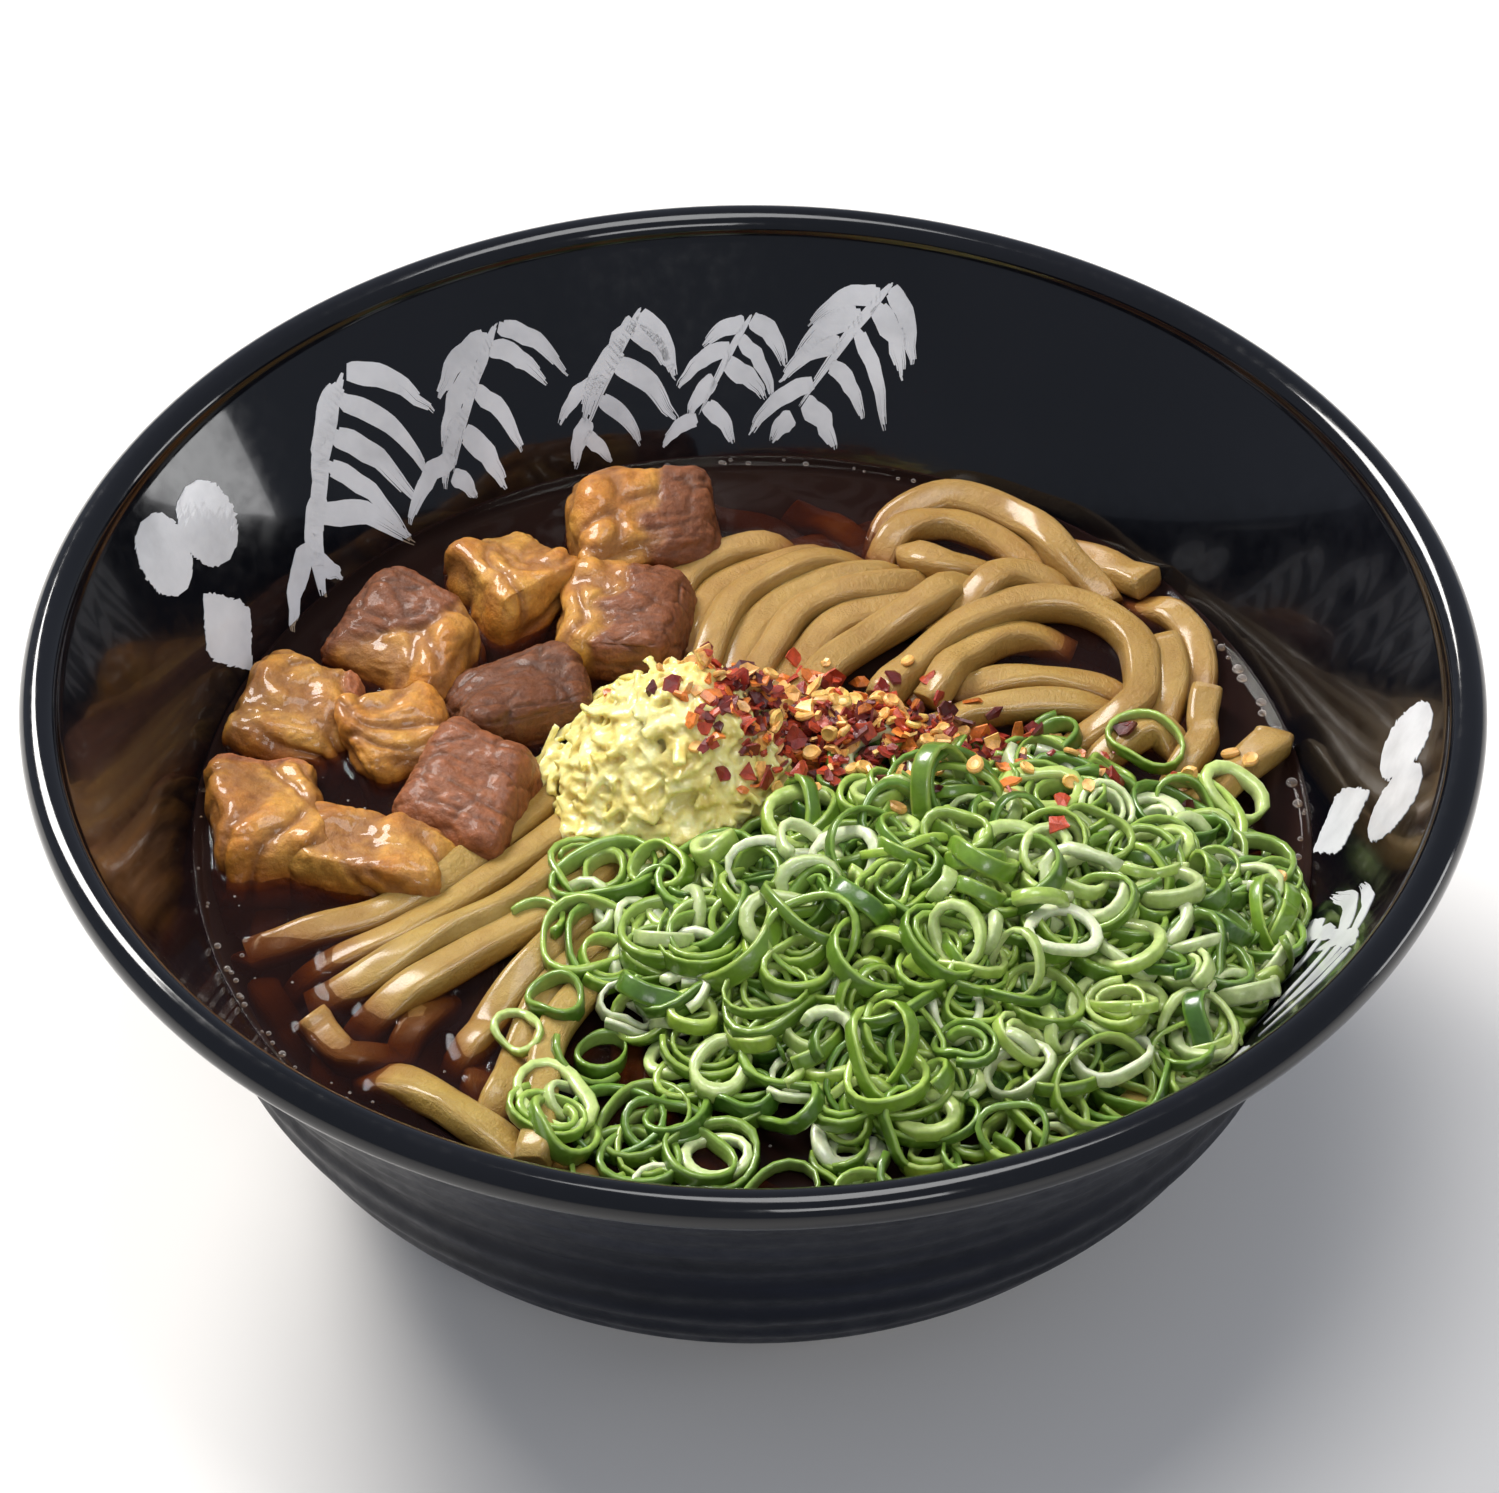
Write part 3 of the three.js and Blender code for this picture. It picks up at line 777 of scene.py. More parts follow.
cube_points, cube_quads = cube_skin(46)
CORNERS = np.array([(x, y, z) for x in (-1, 1) for y in (-1, 1) for z in (-1, 1)])
LEAN, PALE_LEAN = np.array([0.275, 0.09, 0.031]), np.array([0.10, 0.06, 0.035])
PALE_FAT, GOLDEN_FAT = np.array([0.60, 0.305, 0.056]), np.array([0.52, 0.203, 0.025])
# the dark brown that is painted as shade into the creases of the fat
FAT_CREASE_SHADE = np.array([0.25, 0.095, 0.022])
SINK = 2.2  # how far the middle of a cube lies under the broth's surface
beef_pieces = []
for index, (name, (middle, size, turn, tip, lean_at, lean_share, dark)) in enumerate(CUBES.items()):
    rng = np.random.default_rng(600 + index)
    square = rng.uniform(4.4, 6.5)  # the higher, the sharper its edges
    p = 1.04 * cube_points / (np.abs(cube_points) ** square).sum(1)[:, None] ** (1 / square)
    for corner in CORNERS:  # every corner pulled its own way
        p = p + (np.prod(1 + cube_points * corner, axis=1) / 8)[:, None] * rng.normal(0, 0.13, 3)
    p[:, :2] *= 1 - 0.09 * p[:, 2:]
    p = p * (np.array(size) / 2)
    out = face_normals(p, cube_quads)
    seed = 17.3 * index
    # lean where the cube points that way, with a ragged border
    toward = np.array(lean_at) / np.linalg.norm(lean_at)
    side = (p @ toward) / (np.abs(np.array(size) / 2) @ np.abs(toward))
    side += 0.3 * field(p, 0.16, seed)
    lean = np.clip((side - (1 - 2 * lean_share)) * 6 + 0.5, 0, 1)
    bundle = seams(p, np.array([0.13, 0.25, 0.25]), seed)
    crack = np.clip(1 - bundle * 5, 0, 1) ** 1.6 * np.clip(0.8 + 1.4 * field(p, 0.2, seed + 25), 0.25, 1)
    grain = field(p, np.array([0.55, 1.2, 1.2]), seed)
    thread = field(p, np.array([0.8, 2.1, 2.1]), seed + 2)
    fold = creases(p, 0.13, seed + 5)
    crimp = creases(p, 0.34, seed + 11, 3.5)
    swell = field(p, 0.1, seed + 9)
    push = 1.25 * swell + 0.5 * field(p, 0.22, seed + 13)
    push += lean * (0.15 * grain + 0.1 * thread - 0.4 * crack)
    push += (1 - lean) * (0.1 + 0.4 * field(p, 0.24, seed + 15) - 0.7 * fold - 0.16 * crimp)
    push -= 1.5 * lean * (1 - lean)
    p = p + out * push[:, None]
    # lean brown flesh with dark seams and paler threads; golden fat, with painted shade in its creases
    meat = LEAN * (1.34 - 0.74 * dark) * ((1 + 0.26 * grain + 0.22 * thread) * (1 - 0.42 * crack))[:, None]
    streaks = np.clip(field(p, np.array([0.1, 0.5, 0.5]), seed + 21) - 0.25, 0, 1)[:, None]
    meat = meat + PALE_LEAN * streaks
    golden = np.clip(0.45 + 1.5 * swell + 0.5 * field(p, 0.3, seed + 17), 0, 1)[:, None]
    fat = PALE_FAT + (GOLDEN_FAT - PALE_FAT) * golden
    # painted shade: the fat is darkened brown down in its folds and crimps
    crease = np.clip(0.75 * fold + 0.3 * crimp - 0.05, 0, 0.8)[:, None]
    fat = fat * (1 - crease) + FAT_CREASE_SHADE * crease
    tint = np.c_[meat * lean[:, None] + fat * (1 - lean[:, None]), 1 - 0.75 * lean]
    a, b = math.radians(tip), math.radians(turn)
    spin = np.array([[math.cos(b), -math.sin(b), 0], [math.sin(b), math.cos(b), 0], [0, 0, 1]])
    rock = np.array([[1, 0, 0], [0, math.cos(a), -math.sin(a)], [0, math.sin(a), math.cos(a)]])
    p = p @ (spin @ rock).T + (*middle, BROTH_LEVEL - SINK)
    over = np.linalg.norm(p[:, :2], axis=1)
    p[:, :2] *= np.minimum(1, (wall_at(p[:, 2]) - 0.3) / over)[:, None]
    cube = make_mesh(f"{name}_cube", p, [cube_quads], [stewed_meat], tint=np.clip(tint, 0, 1))
    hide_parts(name)
    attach(cube, "root")
    beef_pieces.append(cube)

# ---------------------------------------------------------------------------------------------
# Broth. Dark soy broth with a little beef fat, filling the bowl from its floor to 52.5 mm. Its
# skin climbs a little up the wall and whatever stands out of it. It is clear for a few
# millimetres, brown over a noodle and nearly black over the black glaze.
# ---------------------------------------------------------------------------------------------
STEP = 0.7
CLIMB, CLIMB_REACH = 0.5, 1.0
WALL_CLIMB, WALL_REACH = 1.1, 1.1
GAP = 0.15  # between the broth and the glaze


def tree_of(*pieces):
    """A search tree over the faces of some pieces, in millimetres."""
    points, faces = [], []
    for piece in pieces:
        mesh = piece.data
        co = np.empty(len(mesh.vertices) * 3)
        mesh.vertices.foreach_get("co", co)
        base = len(points)
        points.extend((co.reshape(-1, 3) / MM).tolist())
        faces.extend([[v + base for v in f.vertices] for f in mesh.polygons])
    return BVHTree.FromPolygons(points, faces)


solids_in_broth = tree_of(noodles, *beef_pieces)
edge = float(wall_at(BROTH_LEVEL)) + GAP
rows = [0.0]
while rows[-1] < edge - 6:
    rows.append(rows[-1] + STEP)
rows = np.array(rows + list(np.linspace(rows[-1] + STEP, edge + 0.45, 15)))
spokes = 530
turn = full_turn(spokes)
flat = np.vstack([[(0, 0)]] + [np.c_[row * np.cos(turn), row * np.sin(turn)] for row in rows[1:]])
climb = np.zeros(len(flat))
for i, (x, y) in enumerate(flat.tolist()):
    spot, _, _, far = solids_in_broth.find_nearest((x, y, BROTH_LEVEL), 4.5)
    if spot is not None:  # it climbs only what stands out of it
        stands_out = min(1, max(0, (spot.z - BROTH_LEVEL + 0.5) / 0.5))
        climb[i] = CLIMB * math.exp(-far / CLIMB_REACH) * stands_out
from_wall = np.maximum(edge - np.linalg.norm(flat, axis=1), 0)
climb += WALL_CLIMB * np.exp(-from_wall / WALL_REACH)
top = np.c_[flat, BROTH_LEVEL + climb]
liner = inner_line[(inner_line[:, 1] < BROTH_LEVEL - 1) & (inner_line[:, 0] > 0.5)][::-1]
below = [np.c_[(r - GAP) * np.cos(turn), (r - GAP) * np.sin(turn), turn * 0 + z + GAP] for r, z in liner]
points = np.vstack([top, *below, [(0, 0, inner_line[0, 1] + GAP)]])
levels = len(rows) - 1 + len(below)
faces = closed_rows(levels, spokes, 1, 0, len(points) - 1)
SURFACE, DEEP = 0, 1
row_pick = np.where(np.arange(levels - 1) < len(rows) - 2, SURFACE, DEEP)
picks = np.repeat([*row_pick, SURFACE, DEEP], spokes)


def see_through(tree, shader, color, share):
    """Lets a clear skin show what is behind it; share is how much is seen of the skin itself."""
    through = add(tree, "BsdfTransparent", {"Color": (*color, 1)})
    both = add(tree, "MixShader", {"Fac": share})
    tree.links.new(through.outputs[0], both.inputs[1])
    tree.links.new(shader.outputs[0], both.inputs[2])
    tree.links.new(both.outputs[0], tree.nodes["Material Output"].inputs["Surface"])


soy_broth, tree, shader = finish(
    "soy_broth", (0.02, 0.009, 0.008), roughness=0.045, specular_ior_level=0.5, ior=1.36
)
facing = add(tree, "LayerWeight", {"Blend": 0.35}).outputs["Facing"]
see_through(tree, shader, (0.9, 0.78, 0.64), remap(tree, facing, 0.0, 1.0, 0.09, 0.88))
murk = ramp(tree, noise(tree, 45, 3), (0.3, (0.027, 0.011, 0.010)), (0.7, (0.045, 0.019, 0.015)))
drive(tree, shader, base_color=murk)
bumps(tree, shader, noise(tree, 70, 2), 0.05, 0.0005)

deep_broth, tree, shader = finish("deep_broth", (0.008, 0.003, 0.002), roughness=0.6)
murk = ramp(tree, noise(tree, 60, 3), (0.3, (0.006, 0.002, 0.0015)), (0.7, (0.013, 0.004, 0.002)))
drive(tree, shader, base_color=murk)
broth = make_mesh("broth_pool", points, faces, [soy_broth, deep_broth], picks)
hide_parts("broth")
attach(broth, "root")

# ---------------------------------------------------------------------------------------------
# Ginger. A spoonful of fresh root, grated wet on a fine grater: short flat shreds that cling
# together in a soft mound, fused to one skin with the mound under them.
# ---------------------------------------------------------------------------------------------
GINGER_AT, GINGER_REACH, GINGER_FOOT, GINGER_TOP = (-10.0, 8.0), 20.0, BROTH_LEVEL + 1.5, 73.5
SHREDS = 620
rng = np.random.default_rng(21)


def ginger_height(x, y):
    """Height of the top of the heap."""
    out = np.minimum(1, np.hypot(x - GINGER_AT[0], y - GINGER_AT[1]) / GINGER_REACH)
    lump = 0.9 * np.sin(0.55 * x + 0.3) * np.cos(0.5 * y)
    return GINGER_FOOT + (GINGER_TOP - GINGER_FOOT) * (1 - out**1.8) + lump


def ginger_reach(angle, past):
    """Radius of the uneven outline of the heap, past more than its mean one."""
    return (GINGER_REACH + past) + 2.0 * np.sin(3 * angle + 1) + 0.8 * np.sin(7 * angle)


def fused(name, points, faces, finishes, grain):
    """A piece whose overlapping parts are fused to one skin, with detail down to grain millimetres."""
    rough = make_mesh(name + "_parts", points, faces, finishes)
    melt = rough.modifiers.new("melt", "REMESH")
    melt.mode = "VOXEL"
    melt.voxel_size = grain * MM
    soften = rough.modifiers.new("soften", "SMOOTH")
    soften.iterations = 2
    skin = bpy.data.meshes.new_from_object(rough.evaluated_get(bpy.context.evaluated_depsgraph_get()))
    bpy.data.objects.remove(rough)
    piece = bpy.data.objects.new(name, skin)
    bpy.context.scene.collection.objects.link(piece)
    skin.name = name
    skin.materials.clear()
    for each in finishes:
        skin.materials.append(each)
    skin.polygons.foreach_set("use_smooth", np.ones(len(skin.polygons), bool))
    return piece


def mound(at, reach, height, floor, rows=16, spokes=48):
    """A closed heap: its top follows height(x, y) out to reach(angle), its floor is flat."""
    turn = full_turn(spokes)
    share = np.linspace(0, 1, rows + 1)[1:, None]
    x = at[0] + share * reach(turn) * np.cos(turn)
    y = at[1] + share * reach(turn) * np.sin(turn)
    tops = np.stack([x, y, height(x, y)], 2).reshape(-1, 3)
    foot = tops[-spokes:] * (1, 1, 0) + (0, 0, floor)
    points = np.vstack([[(*at, height(*np.array(at)))], tops, foot, [(*at, floor)]])
    return points, *closed_rows(rows + 1, spokes, 1, 0, len(points) - 1)


def shred(at, out, long, wide, thick):
    """A short curved scrap lying against a surface that faces out."""
    out = out / np.linalg.norm(out)
    along = np.cross(out, rng.normal(0, 1, 3))
    along = along / np.linalg.norm(along) + out * rng.normal(0, 0.16)
    across = np.cross(out, along)
    t = np.linspace(-0.5, 0.5, 5)[:, None]
    bow = 0.3 * long * (0.25 - t**2)
    path = at + along * t * long + out * bow * rng.uniform(-0.4, 1) + across * bow * rng.uniform(-1, 1)
    return tube(path, wide, thick, 6, 2.2, 0.8)


def core_height(x, y):
    """Height of the mound under the shreds."""
    return ginger_height(x, y) - 1.6


shapes = [mound(GINGER_AT, lambda a: ginger_reach(a, -1.5), core_height, BROTH_LEVEL - 0.5)]
for _ in range(SHREDS):
    a, out = rng.uniform(0, 2 * np.pi), math.sqrt(rng.uniform(0, 1))
    reach = float(ginger_reach(a, 1.2))
    x, y = GINGER_AT[0] + out * reach * math.cos(a), GINGER_AT[1] + out * reach * math.sin(a)
    z = float(ginger_height(x, y)) + rng.uniform(-1.4, 0.7)
    facing_out = np.array([math.cos(a) * out, math.sin(a) * out, 0.75])
    long, wide, thick = rng.uniform(3.5, 9.5), rng.uniform(1.2, 2.5), rng.uniform(0.7, 1.15)
    shapes.append(shred(np.array([x, y, z]), facing_out, long, wide, thick))

grated_root, tree, shader = finish(
    "grated_root", (0.68, 0.52, 0.12),
    roughness=0.4, specular_ior_level=0.4, coat_weight=0.6, coat_roughness=0.08,
    subsurface_weight=0.5, subsurface_scale=0.002, subsurface_radius=(1.0, 0.8, 0.3),
)
juicy = ramp(
    tree, noise(tree, 230, 5, 0.65),
    (0.3, (0.70, 0.53, 0.12)), (0.5, (0.85, 0.73, 0.25)), (0.7, (0.94, 0.88, 0.46)),
)
drive(tree, shader, base_color=juicy)
bumps(tree, shader, noise(tree, 1300, 5, 0.7), 0.5, 0.0004)
points, faces = gather(shapes)
ginger = fused("ginger_mound", points, faces, [grated_root], 0.325)
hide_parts("ginger")
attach(ginger, "root")

# ---------------------------------------------------------------------------------------------
# Spring onion. Cut across in slices 1.5 to 3 mm thick: wide thin-walled rings from the green
# leaves, small thick ones from the pale stem, some sprung open, some with a leaf rolled inside.
# They are heaped by hand, so each is settled here on its neighbours and on what is under them.
# ---------------------------------------------------------------------------------------------
ONION_AT, ONION_LONG, ONION_WIDE, ONION_TURN = (28.0, -25.5), 53.5, 42.0, math.radians(-9)
ONION_FOOT, ONION_TOP = BROTH_LEVEL + 2, 74.0
HEAPED = 480
WHOLE = 2 * np.pi
# the cut wall of a leaf, across and along: inner face, its cut edges, outer face
SECTION = np.array(
    [(-0.5, -0.33), (-0.33, -0.5), (0.33, -0.5), (0.5, -0.33),
     (0.5, 0.33), (0.33, 0.5), (-0.33, 0.5), (-0.5, 0.33)]
)
rng = np.random.default_rng(33)


def onion_hump(x, y, grow=0.0):
    """1 in the middle of the heap, 0 at its outline."""
    c, s = math.cos(ONION_TURN), math.sin(ONION_TURN)
    u = ((x - ONION_AT[0]) * c + (y - ONION_AT[1]) * s) / (ONION_LONG + grow)
    v = (-(x - ONION_AT[0]) * s + (y - ONION_AT[1]) * c) / (ONION_WIDE + grow)
    return np.maximum(0, 1 - u * u - v * v)


def onion_height(x, y):
    return ONION_FOOT + (ONION_TOP - ONION_FOOT) * onion_hump(x, y, 3) ** 0.8


def ring_line(radius, oval, wave, arc, bend, steps):
    """The middle line of a ring, flat in x and y, with its outward and upward directions."""
    closed = arc == WHOLE
    a = np.linspace(0, arc, steps, endpoint=not closed)
    r = radius * (1 + oval * np.cos(2 * a + wave[1]) + wave[0] * np.cos(3 * a + wave[2]))
    if not closed:
        r = r * (1 - 0.16 * a / arc) if arc < WHOLE else r - 1.45 * a / WHOLE
    line = np.stack([r * np.cos(a), r * np.sin(a), bend * np.cos(2 * a + wave[3])], 1)
    line -= line.mean(0)
    along = np.roll(line, -1, 0) - np.roll(line, 1, 0) if closed else np.gradient(line, axis=0)
    along /= np.linalg.norm(along, axis=1)[:, None]
    out = np.cross(along, (0, 0, 1.0))
    out /= np.linalg.norm(out, axis=1)[:, None]
    return line, out, np.cross(out, along) * -1


# skin, inner face and cut edge, each from a young leaf to an old one
LEAF_GREENS = {
    "green": (((0.04, 0.11, 0.010), (0.16, 0.28, 0.022)), ((0.19, 0.32, 0.055), (0.42, 0.53, 0.14)),
              ((0.13, 0.25, 0.028), (0.35, 0.48, 0.085))),
    "pale": (((0.32, 0.46, 0.05), (0.62, 0.68, 0.38)), ((0.52, 0.61, 0.2), (0.74, 0.77, 0.55)),
             ((0.46, 0.58, 0.15), (0.70, 0.74, 0.50))),
}


def onion_ring(kind, place_it):
    """A ring of one kind about its own middle, with the balls that fill it, put by place_it."""
    green = kind == "green"
    if green:
        radius, wall, tall = rng.uniform(3.3, 7.2), rng.uniform(0.7, 1.15), rng.uniform(1.5, 3.2)
    else:
        radius, wall, tall = rng.uniform(2.4, 5.6), rng.uniform(1.0, 2.0), rng.uniform(1.3, 2.8)
    cut_as = rng.random()
    arc = WHOLE  # whole, sprung open, or one leaf rolled inside itself
    if cut_as > 0.84:
        radius, wall, arc = max(radius, 4.6), min(wall, 0.85), rng.uniform(8.5, 11.5)
    elif cut_as > 0.58:
        arc = rng.uniform(1.9, 5.6)
    wave = (rng.uniform(0, 0.09), *rng.uniform(0, 6.3, 3))
    oval, bend = rng.uniform(0, 0.24), rng.uniform(0, 0.8)
    steps = max(9, int((22 if green else 18) * arc / 6.28))
    line, out, up = ring_line(radius, oval, wave, arc, bend, steps)
    thick = wall * (1 + 0.2 * unsteady(steps, 7))
    across = out[:, None] * (SECTION[:, 0][None, :, None] * thick[:, None, None])
    points = line[:, None] + across + up[:, None] * (SECTION[:, 1] * tall)[None, :, None]
    sides = len(SECTION)
    k = np.arange(steps if arc == WHOLE else steps - 1)[:, None]
    n = (k + 1) % steps
    m = np.arange(sides)
    after = (m + 1) % sides
    quads = np.stack([k * sides + m, k * sides + after, n * sides + after, n * sides + m], 2).reshape(-1, 4)
    caps = np.zeros((0, 3), int)
    if arc != WHOLE:
        fan = np.array([(0, i, i + 1) for i in range(1, sides - 1)])
        caps = np.vstack([fan[:, ::-1], fan + (steps - 1) * sides])
    age = rng.beta(0.75, 0.7) if green else rng.random() ** 1.4
    skin, inner, cut = (np.array(young) * (1 - age) + np.array(old) * age for young, old in LEAF_GREENS[kind])
    tint = np.tile([inner, cut, cut, skin, skin, cut, cut, inner], (steps, 1)) * rng.uniform(0.85, 1.12)
    at, spin = place_it()
    rings.append(
        dict(kind=kind, points=points.reshape(-1, 3), quads=quads, caps=caps, tint=tint, radius=radius,
             balls=line[:: max(1, steps // 10)], fat=0.5 * min(tall, 2.4), at=at, spin=spin)
    )


def tilted(angle, heading, spin):
    """A turn of a flat ring: spun about its own axis, then tipped towards a heading."""
    spun, back = Matrix.Rotation(spin - heading, 3, "Z"), Matrix.Rotation(heading, 3, "Z")
    return np.array(back @ Matrix.Rotation(angle, 3, "Y") @ spun)


def any_way(tilt):
    """A turn tipped by tilt, towards any heading."""
    return tilted(tilt, rng.uniform(0, 6.28), rng.uniform(0, 6.28))


def in_the_heap():
    """A place for a ring in the heap, clear of the ginger, and how it lies."""
    while True:
        x, y = rng.uniform(-30, 84), rng.uniform(-74, 22)
        inside = float(onion_hump(x, y, -1))
        beside = math.hypot(x - GINGER_AT[0], y - GINGER_AT[1]) > GINGER_REACH + 1
        if beside and inside > 0 and rng.random() < 0.4 + 0.6 * inside:
            break
    depth = rng.uniform(-0.5, 9.5) if inside > 0.25 else rng.uniform(-0.5, 4)
    z = max(56.0, float(onion_height(x, y)) - depth)
    tilt = min(1.5, abs(rng.normal(0, 0.66)))
    return np.array([x, y, z]), any_way(tilt)


rings = []
for _ in range(HEAPED):
    onion_ring("pale" if rng.random() < 0.38 else "green", in_the_heap)


def settle(rings, rounds, floor_at, roof_at):
    """Pushes rings that cut through each other apart and lets them sink until they rest."""
    most = max(len(r["balls"]) for r in rings)
    balls = np.zeros((len(rings), most, 3))
    used = np.zeros((len(rings), most), bool)
    for i, r in enumerate(rings):
        balls[i, : len(r["balls"])] = r["balls"]
        used[i, : len(r["balls"])] = True
    at = np.array([r["at"] for r in rings])
    spin = np.array([r["spin"] for r in rings])
    fat = np.array([r["fat"] for r in rings])
    size = np.array([r["radius"] for r in rings])
    for _ in range(rounds):
        at[:, 2] -= 0.12
        arm = np.einsum("kij,kmj->kmi", spin, balls)
        spots = at[:, None] + arm
        gap = np.linalg.norm(at[:, None] - at[None], axis=2)
        a, b = np.nonzero(np.triu(gap < size[:, None] + size[None] + 2.4, 1))
        apart = spots[a][:, :, None] - spots[b][:, None]
        far = np.linalg.norm(apart, axis=3)
        room = (fat[a] + fat[b])[:, None, None] * 0.8
        hit = (far < room) & used[a][:, :, None] & used[b][:, None]
        push = np.where(hit, 0.5 * (room - far) / np.maximum(far, 0.3), 0)[..., None] * apart
        move = np.zeros((len(rings), most, 3))
        np.add.at(move, a, push.sum(2))
        np.add.at(move, b, -push.sum(1))
        low = floor_at(spots[..., 0], spots[..., 1]) + fat[:, None]
        move[..., 2] += np.where(used, np.maximum(low - spots[..., 2], 0), 0)
        high = roof_at(spots[..., 0], spots[..., 1]) + 1.5
        move[..., 2] -= np.where(used, np.clip(spots[..., 2] - high, 0, 1.0), 0) * 0.6
        aside = spots[..., :2] - GINGER_AT
        near = np.linalg.norm(aside, axis=2)
        into = np.clip(GINGER_REACH - 1 - near, 0, 3)
        move[..., :2] += (into / np.maximum(near, 1))[..., None] * aside * used[..., None]
        out = np.linalg.norm(spots[..., :2], axis=2)
        over = np.maximum(out - (wall_at(spots[..., 2]) - fat[:, None]), 0)
        move[..., :2] -= (over / np.maximum(out, 1))[..., None] * spots[..., :2] * used[..., None]
        count = np.maximum(1, (np.abs(move).sum(2) > 1e-6).sum(1))[:, None]
        shift = move.sum(1) / count
        at += np.clip(0.75 * shift, -1.2, 1.2)
        twist = np.cross(arm, move).sum(1) / (count * size[:, None] ** 2)
        for i, t in enumerate(np.clip(0.9 * twist, -0.3, 0.3)):
            angle = float(np.linalg.norm(t))
            if angle > 1e-4:
                spin[i] = np.array(Matrix.Rotation(angle, 3, Vector(t / angle))) @ spin[i]
    for i, r in enumerate(rings):
        r["at"], r["spin"] = at[i], spin[i]


# loose ones lie flat round the foot of the heap, on the noodles and on the broth
LOOSE = [
    (-33, -44), (-28, -61), (-24, -52), (-18, -67), (-27, -38), (-24, -28), (-30, -22), (-6, -66), (-10, -58),
    (4, -72), (16, -73), (30, -73), (44, -68), (60, -50), (72, -33), (76, -20), (70, 4), (58, 15), (44, 17),
    (-12, -73), (54, -60),
]
LOOSE += [(rng.uniform(-26, 36), rng.uniform(-74, -58)) for _ in range(13)]
LOOSE += [(rng.uniform(-36, -18), rng.uniform(-66, -40)) for _ in range(5)]
for spot in LOOSE:
    kind = "green" if rng.random() < 0.75 else "pale"
    onion_ring(kind, lambda: (np.array([*spot, 57.5]), any_way(rng.uniform(0, 0.5))))

# what the rings come to rest on: the noodles, the meat and the broth, felt every 1.5 mm; the
# ginger stands beside them
surface = tree_of(noodles, *beef_pieces, broth)
GRID = 1.5
grid_x, grid_y = np.arange(-48, 88, GRID), np.arange(-82, 34, GRID)
ground = np.full((len(grid_x), len(grid_y)), BROTH_LEVEL)
for i, x in enumerate(grid_x):
    for j, y in enumerate(grid_y):
        spot = surface.ray_cast((x, y, 90), (0, 0, -1))[0]
        if spot is not None and math.hypot(x, y) < 84:
            ground[i, j] = max(spot.z, BROTH_LEVEL)


def floor_under(x, y):
    i = np.clip(np.rint((x - grid_x[0]) / GRID).astype(int), 0, len(grid_x) - 1)
    j = np.clip(np.rint((y - grid_y[0]) / GRID).astype(int), 0, len(grid_y) - 1)
    return np.maximum(ground[i, j], onion_height(x, y) - 9.5)


settle(rings, 40, floor_under, onion_height)

for ring in rings:  # none may reach through the wall
    for _ in range(4):
        spots = ring["points"] @ ring["spin"].T + ring["at"]
        out = np.linalg.norm(spots[:, :2], axis=1)
        over = out - wall_at(spots[:, 2]) + 0.25
        worst = int(np.argmax(over))
        if over[worst] <= 0:
            break
        ring["at"][:2] -= (spots[worst, :2] / out[worst]) * (over[worst] + 0.05)

onion_cuts = {}
for kind, tone in (("green", (0.1, 0.26, 0.03)), ("pale", (0.55, 0.7, 0.25))):
    flesh, tree, shader = finish(
        f"onion_{kind}", tone, roughness=0.3, coat_weight=0.45, coat_roughness=0.12,
        subsurface_weight=0.3, subsurface_scale=0.0012, subsurface_radius=(0.6, 1.0, 0.3),
    )
    veins = ramp(tree, noise(tree, 600, 4, 0.6), (0.3, (0.78, 0.8, 0.75)), (0.7, (1.12, 1.1, 1.15)))
    drive(tree, shader, base_color=times(tree, own_tint(tree)["Color"], veins))
    bumps(tree, shader, noise(tree, 1600, 3), 0.25, 0.0002)
    some = [r for r in rings if r["kind"] == kind]
    points, faces = gather([(r["points"] @ r["spin"].T + r["at"], r["quads"], r["caps"]) for r in some])
    tint = np.clip(np.vstack([r["tint"] for r in some]), 0, 1)
    cuts = make_mesh(f"onion_rings_{kind}", points, faces, [flesh], tint=tint)
    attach(cuts, "root")
    onion_cuts[kind] = cuts

shade_leaf, tree, shader = finish(
    "onion_in_shade", (0.04, 0.10, 0.012), roughness=0.7, specular_ior_level=0.15
)
shade = ramp(
    tree, noise(tree, 330, 5, 0.7),
    (0.35, (0.008, 0.02, 0.003)), (0.5, (0.035, 0.085, 0.009)),
    (0.6, (0.10, 0.2, 0.025)), (0.7, (0.2, 0.32, 0.06)),
)
drive(tree, shader, base_color=shade)


def oval(long, wide, turn=0.0):
    """The outline of an oval: its radius at each angle."""
    return lambda a: 1 / np.hypot(np.cos(a - turn) / long, np.sin(a - turn) / wide)


points, *faces = mound(
    ONION_AT,
    oval(ONION_LONG - 9, ONION_WIDE - 9, ONION_TURN),
    lambda x, y: np.maximum(53.6, onion_height(x, y) - 8.5) + 0.8 * np.sin(1.1 * x) * np.cos(1.3 * y),
    BROTH_LEVEL - 1, 30, 90,
)
heart = make_mesh("onion_heap_heart", points, faces, [shade_leaf])
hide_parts("spring_onion")
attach(heart, "root")

# ---------------------------------------------------------------------------------------------
# Chilli. Dried red pods crushed to flakes, with their flat yellow seeds, thrown on by hand
# between the ginger and the onion. They fall in layers and lie on whatever is under them.
# ---------------------------------------------------------------------------------------------
rng = np.random.default_rng(44)
CHILLI_AT, CHILLI_SPREAD = (14.0, 13.0), (10.0, 6.4)
WALL_CLEAR = 78  # nothing falls farther out than this
POD_COLOURS = np.array(
    [(0.09, 0.008, 0.006), (0.22, 0.018, 0.01), (0.42, 0.05, 0.015), (0.62, 0.17, 0.025), (0.80, 0.42, 0.12)]
)
POD_SHARES = (0.2, 0.24, 0.22, 0.18, 0.16)


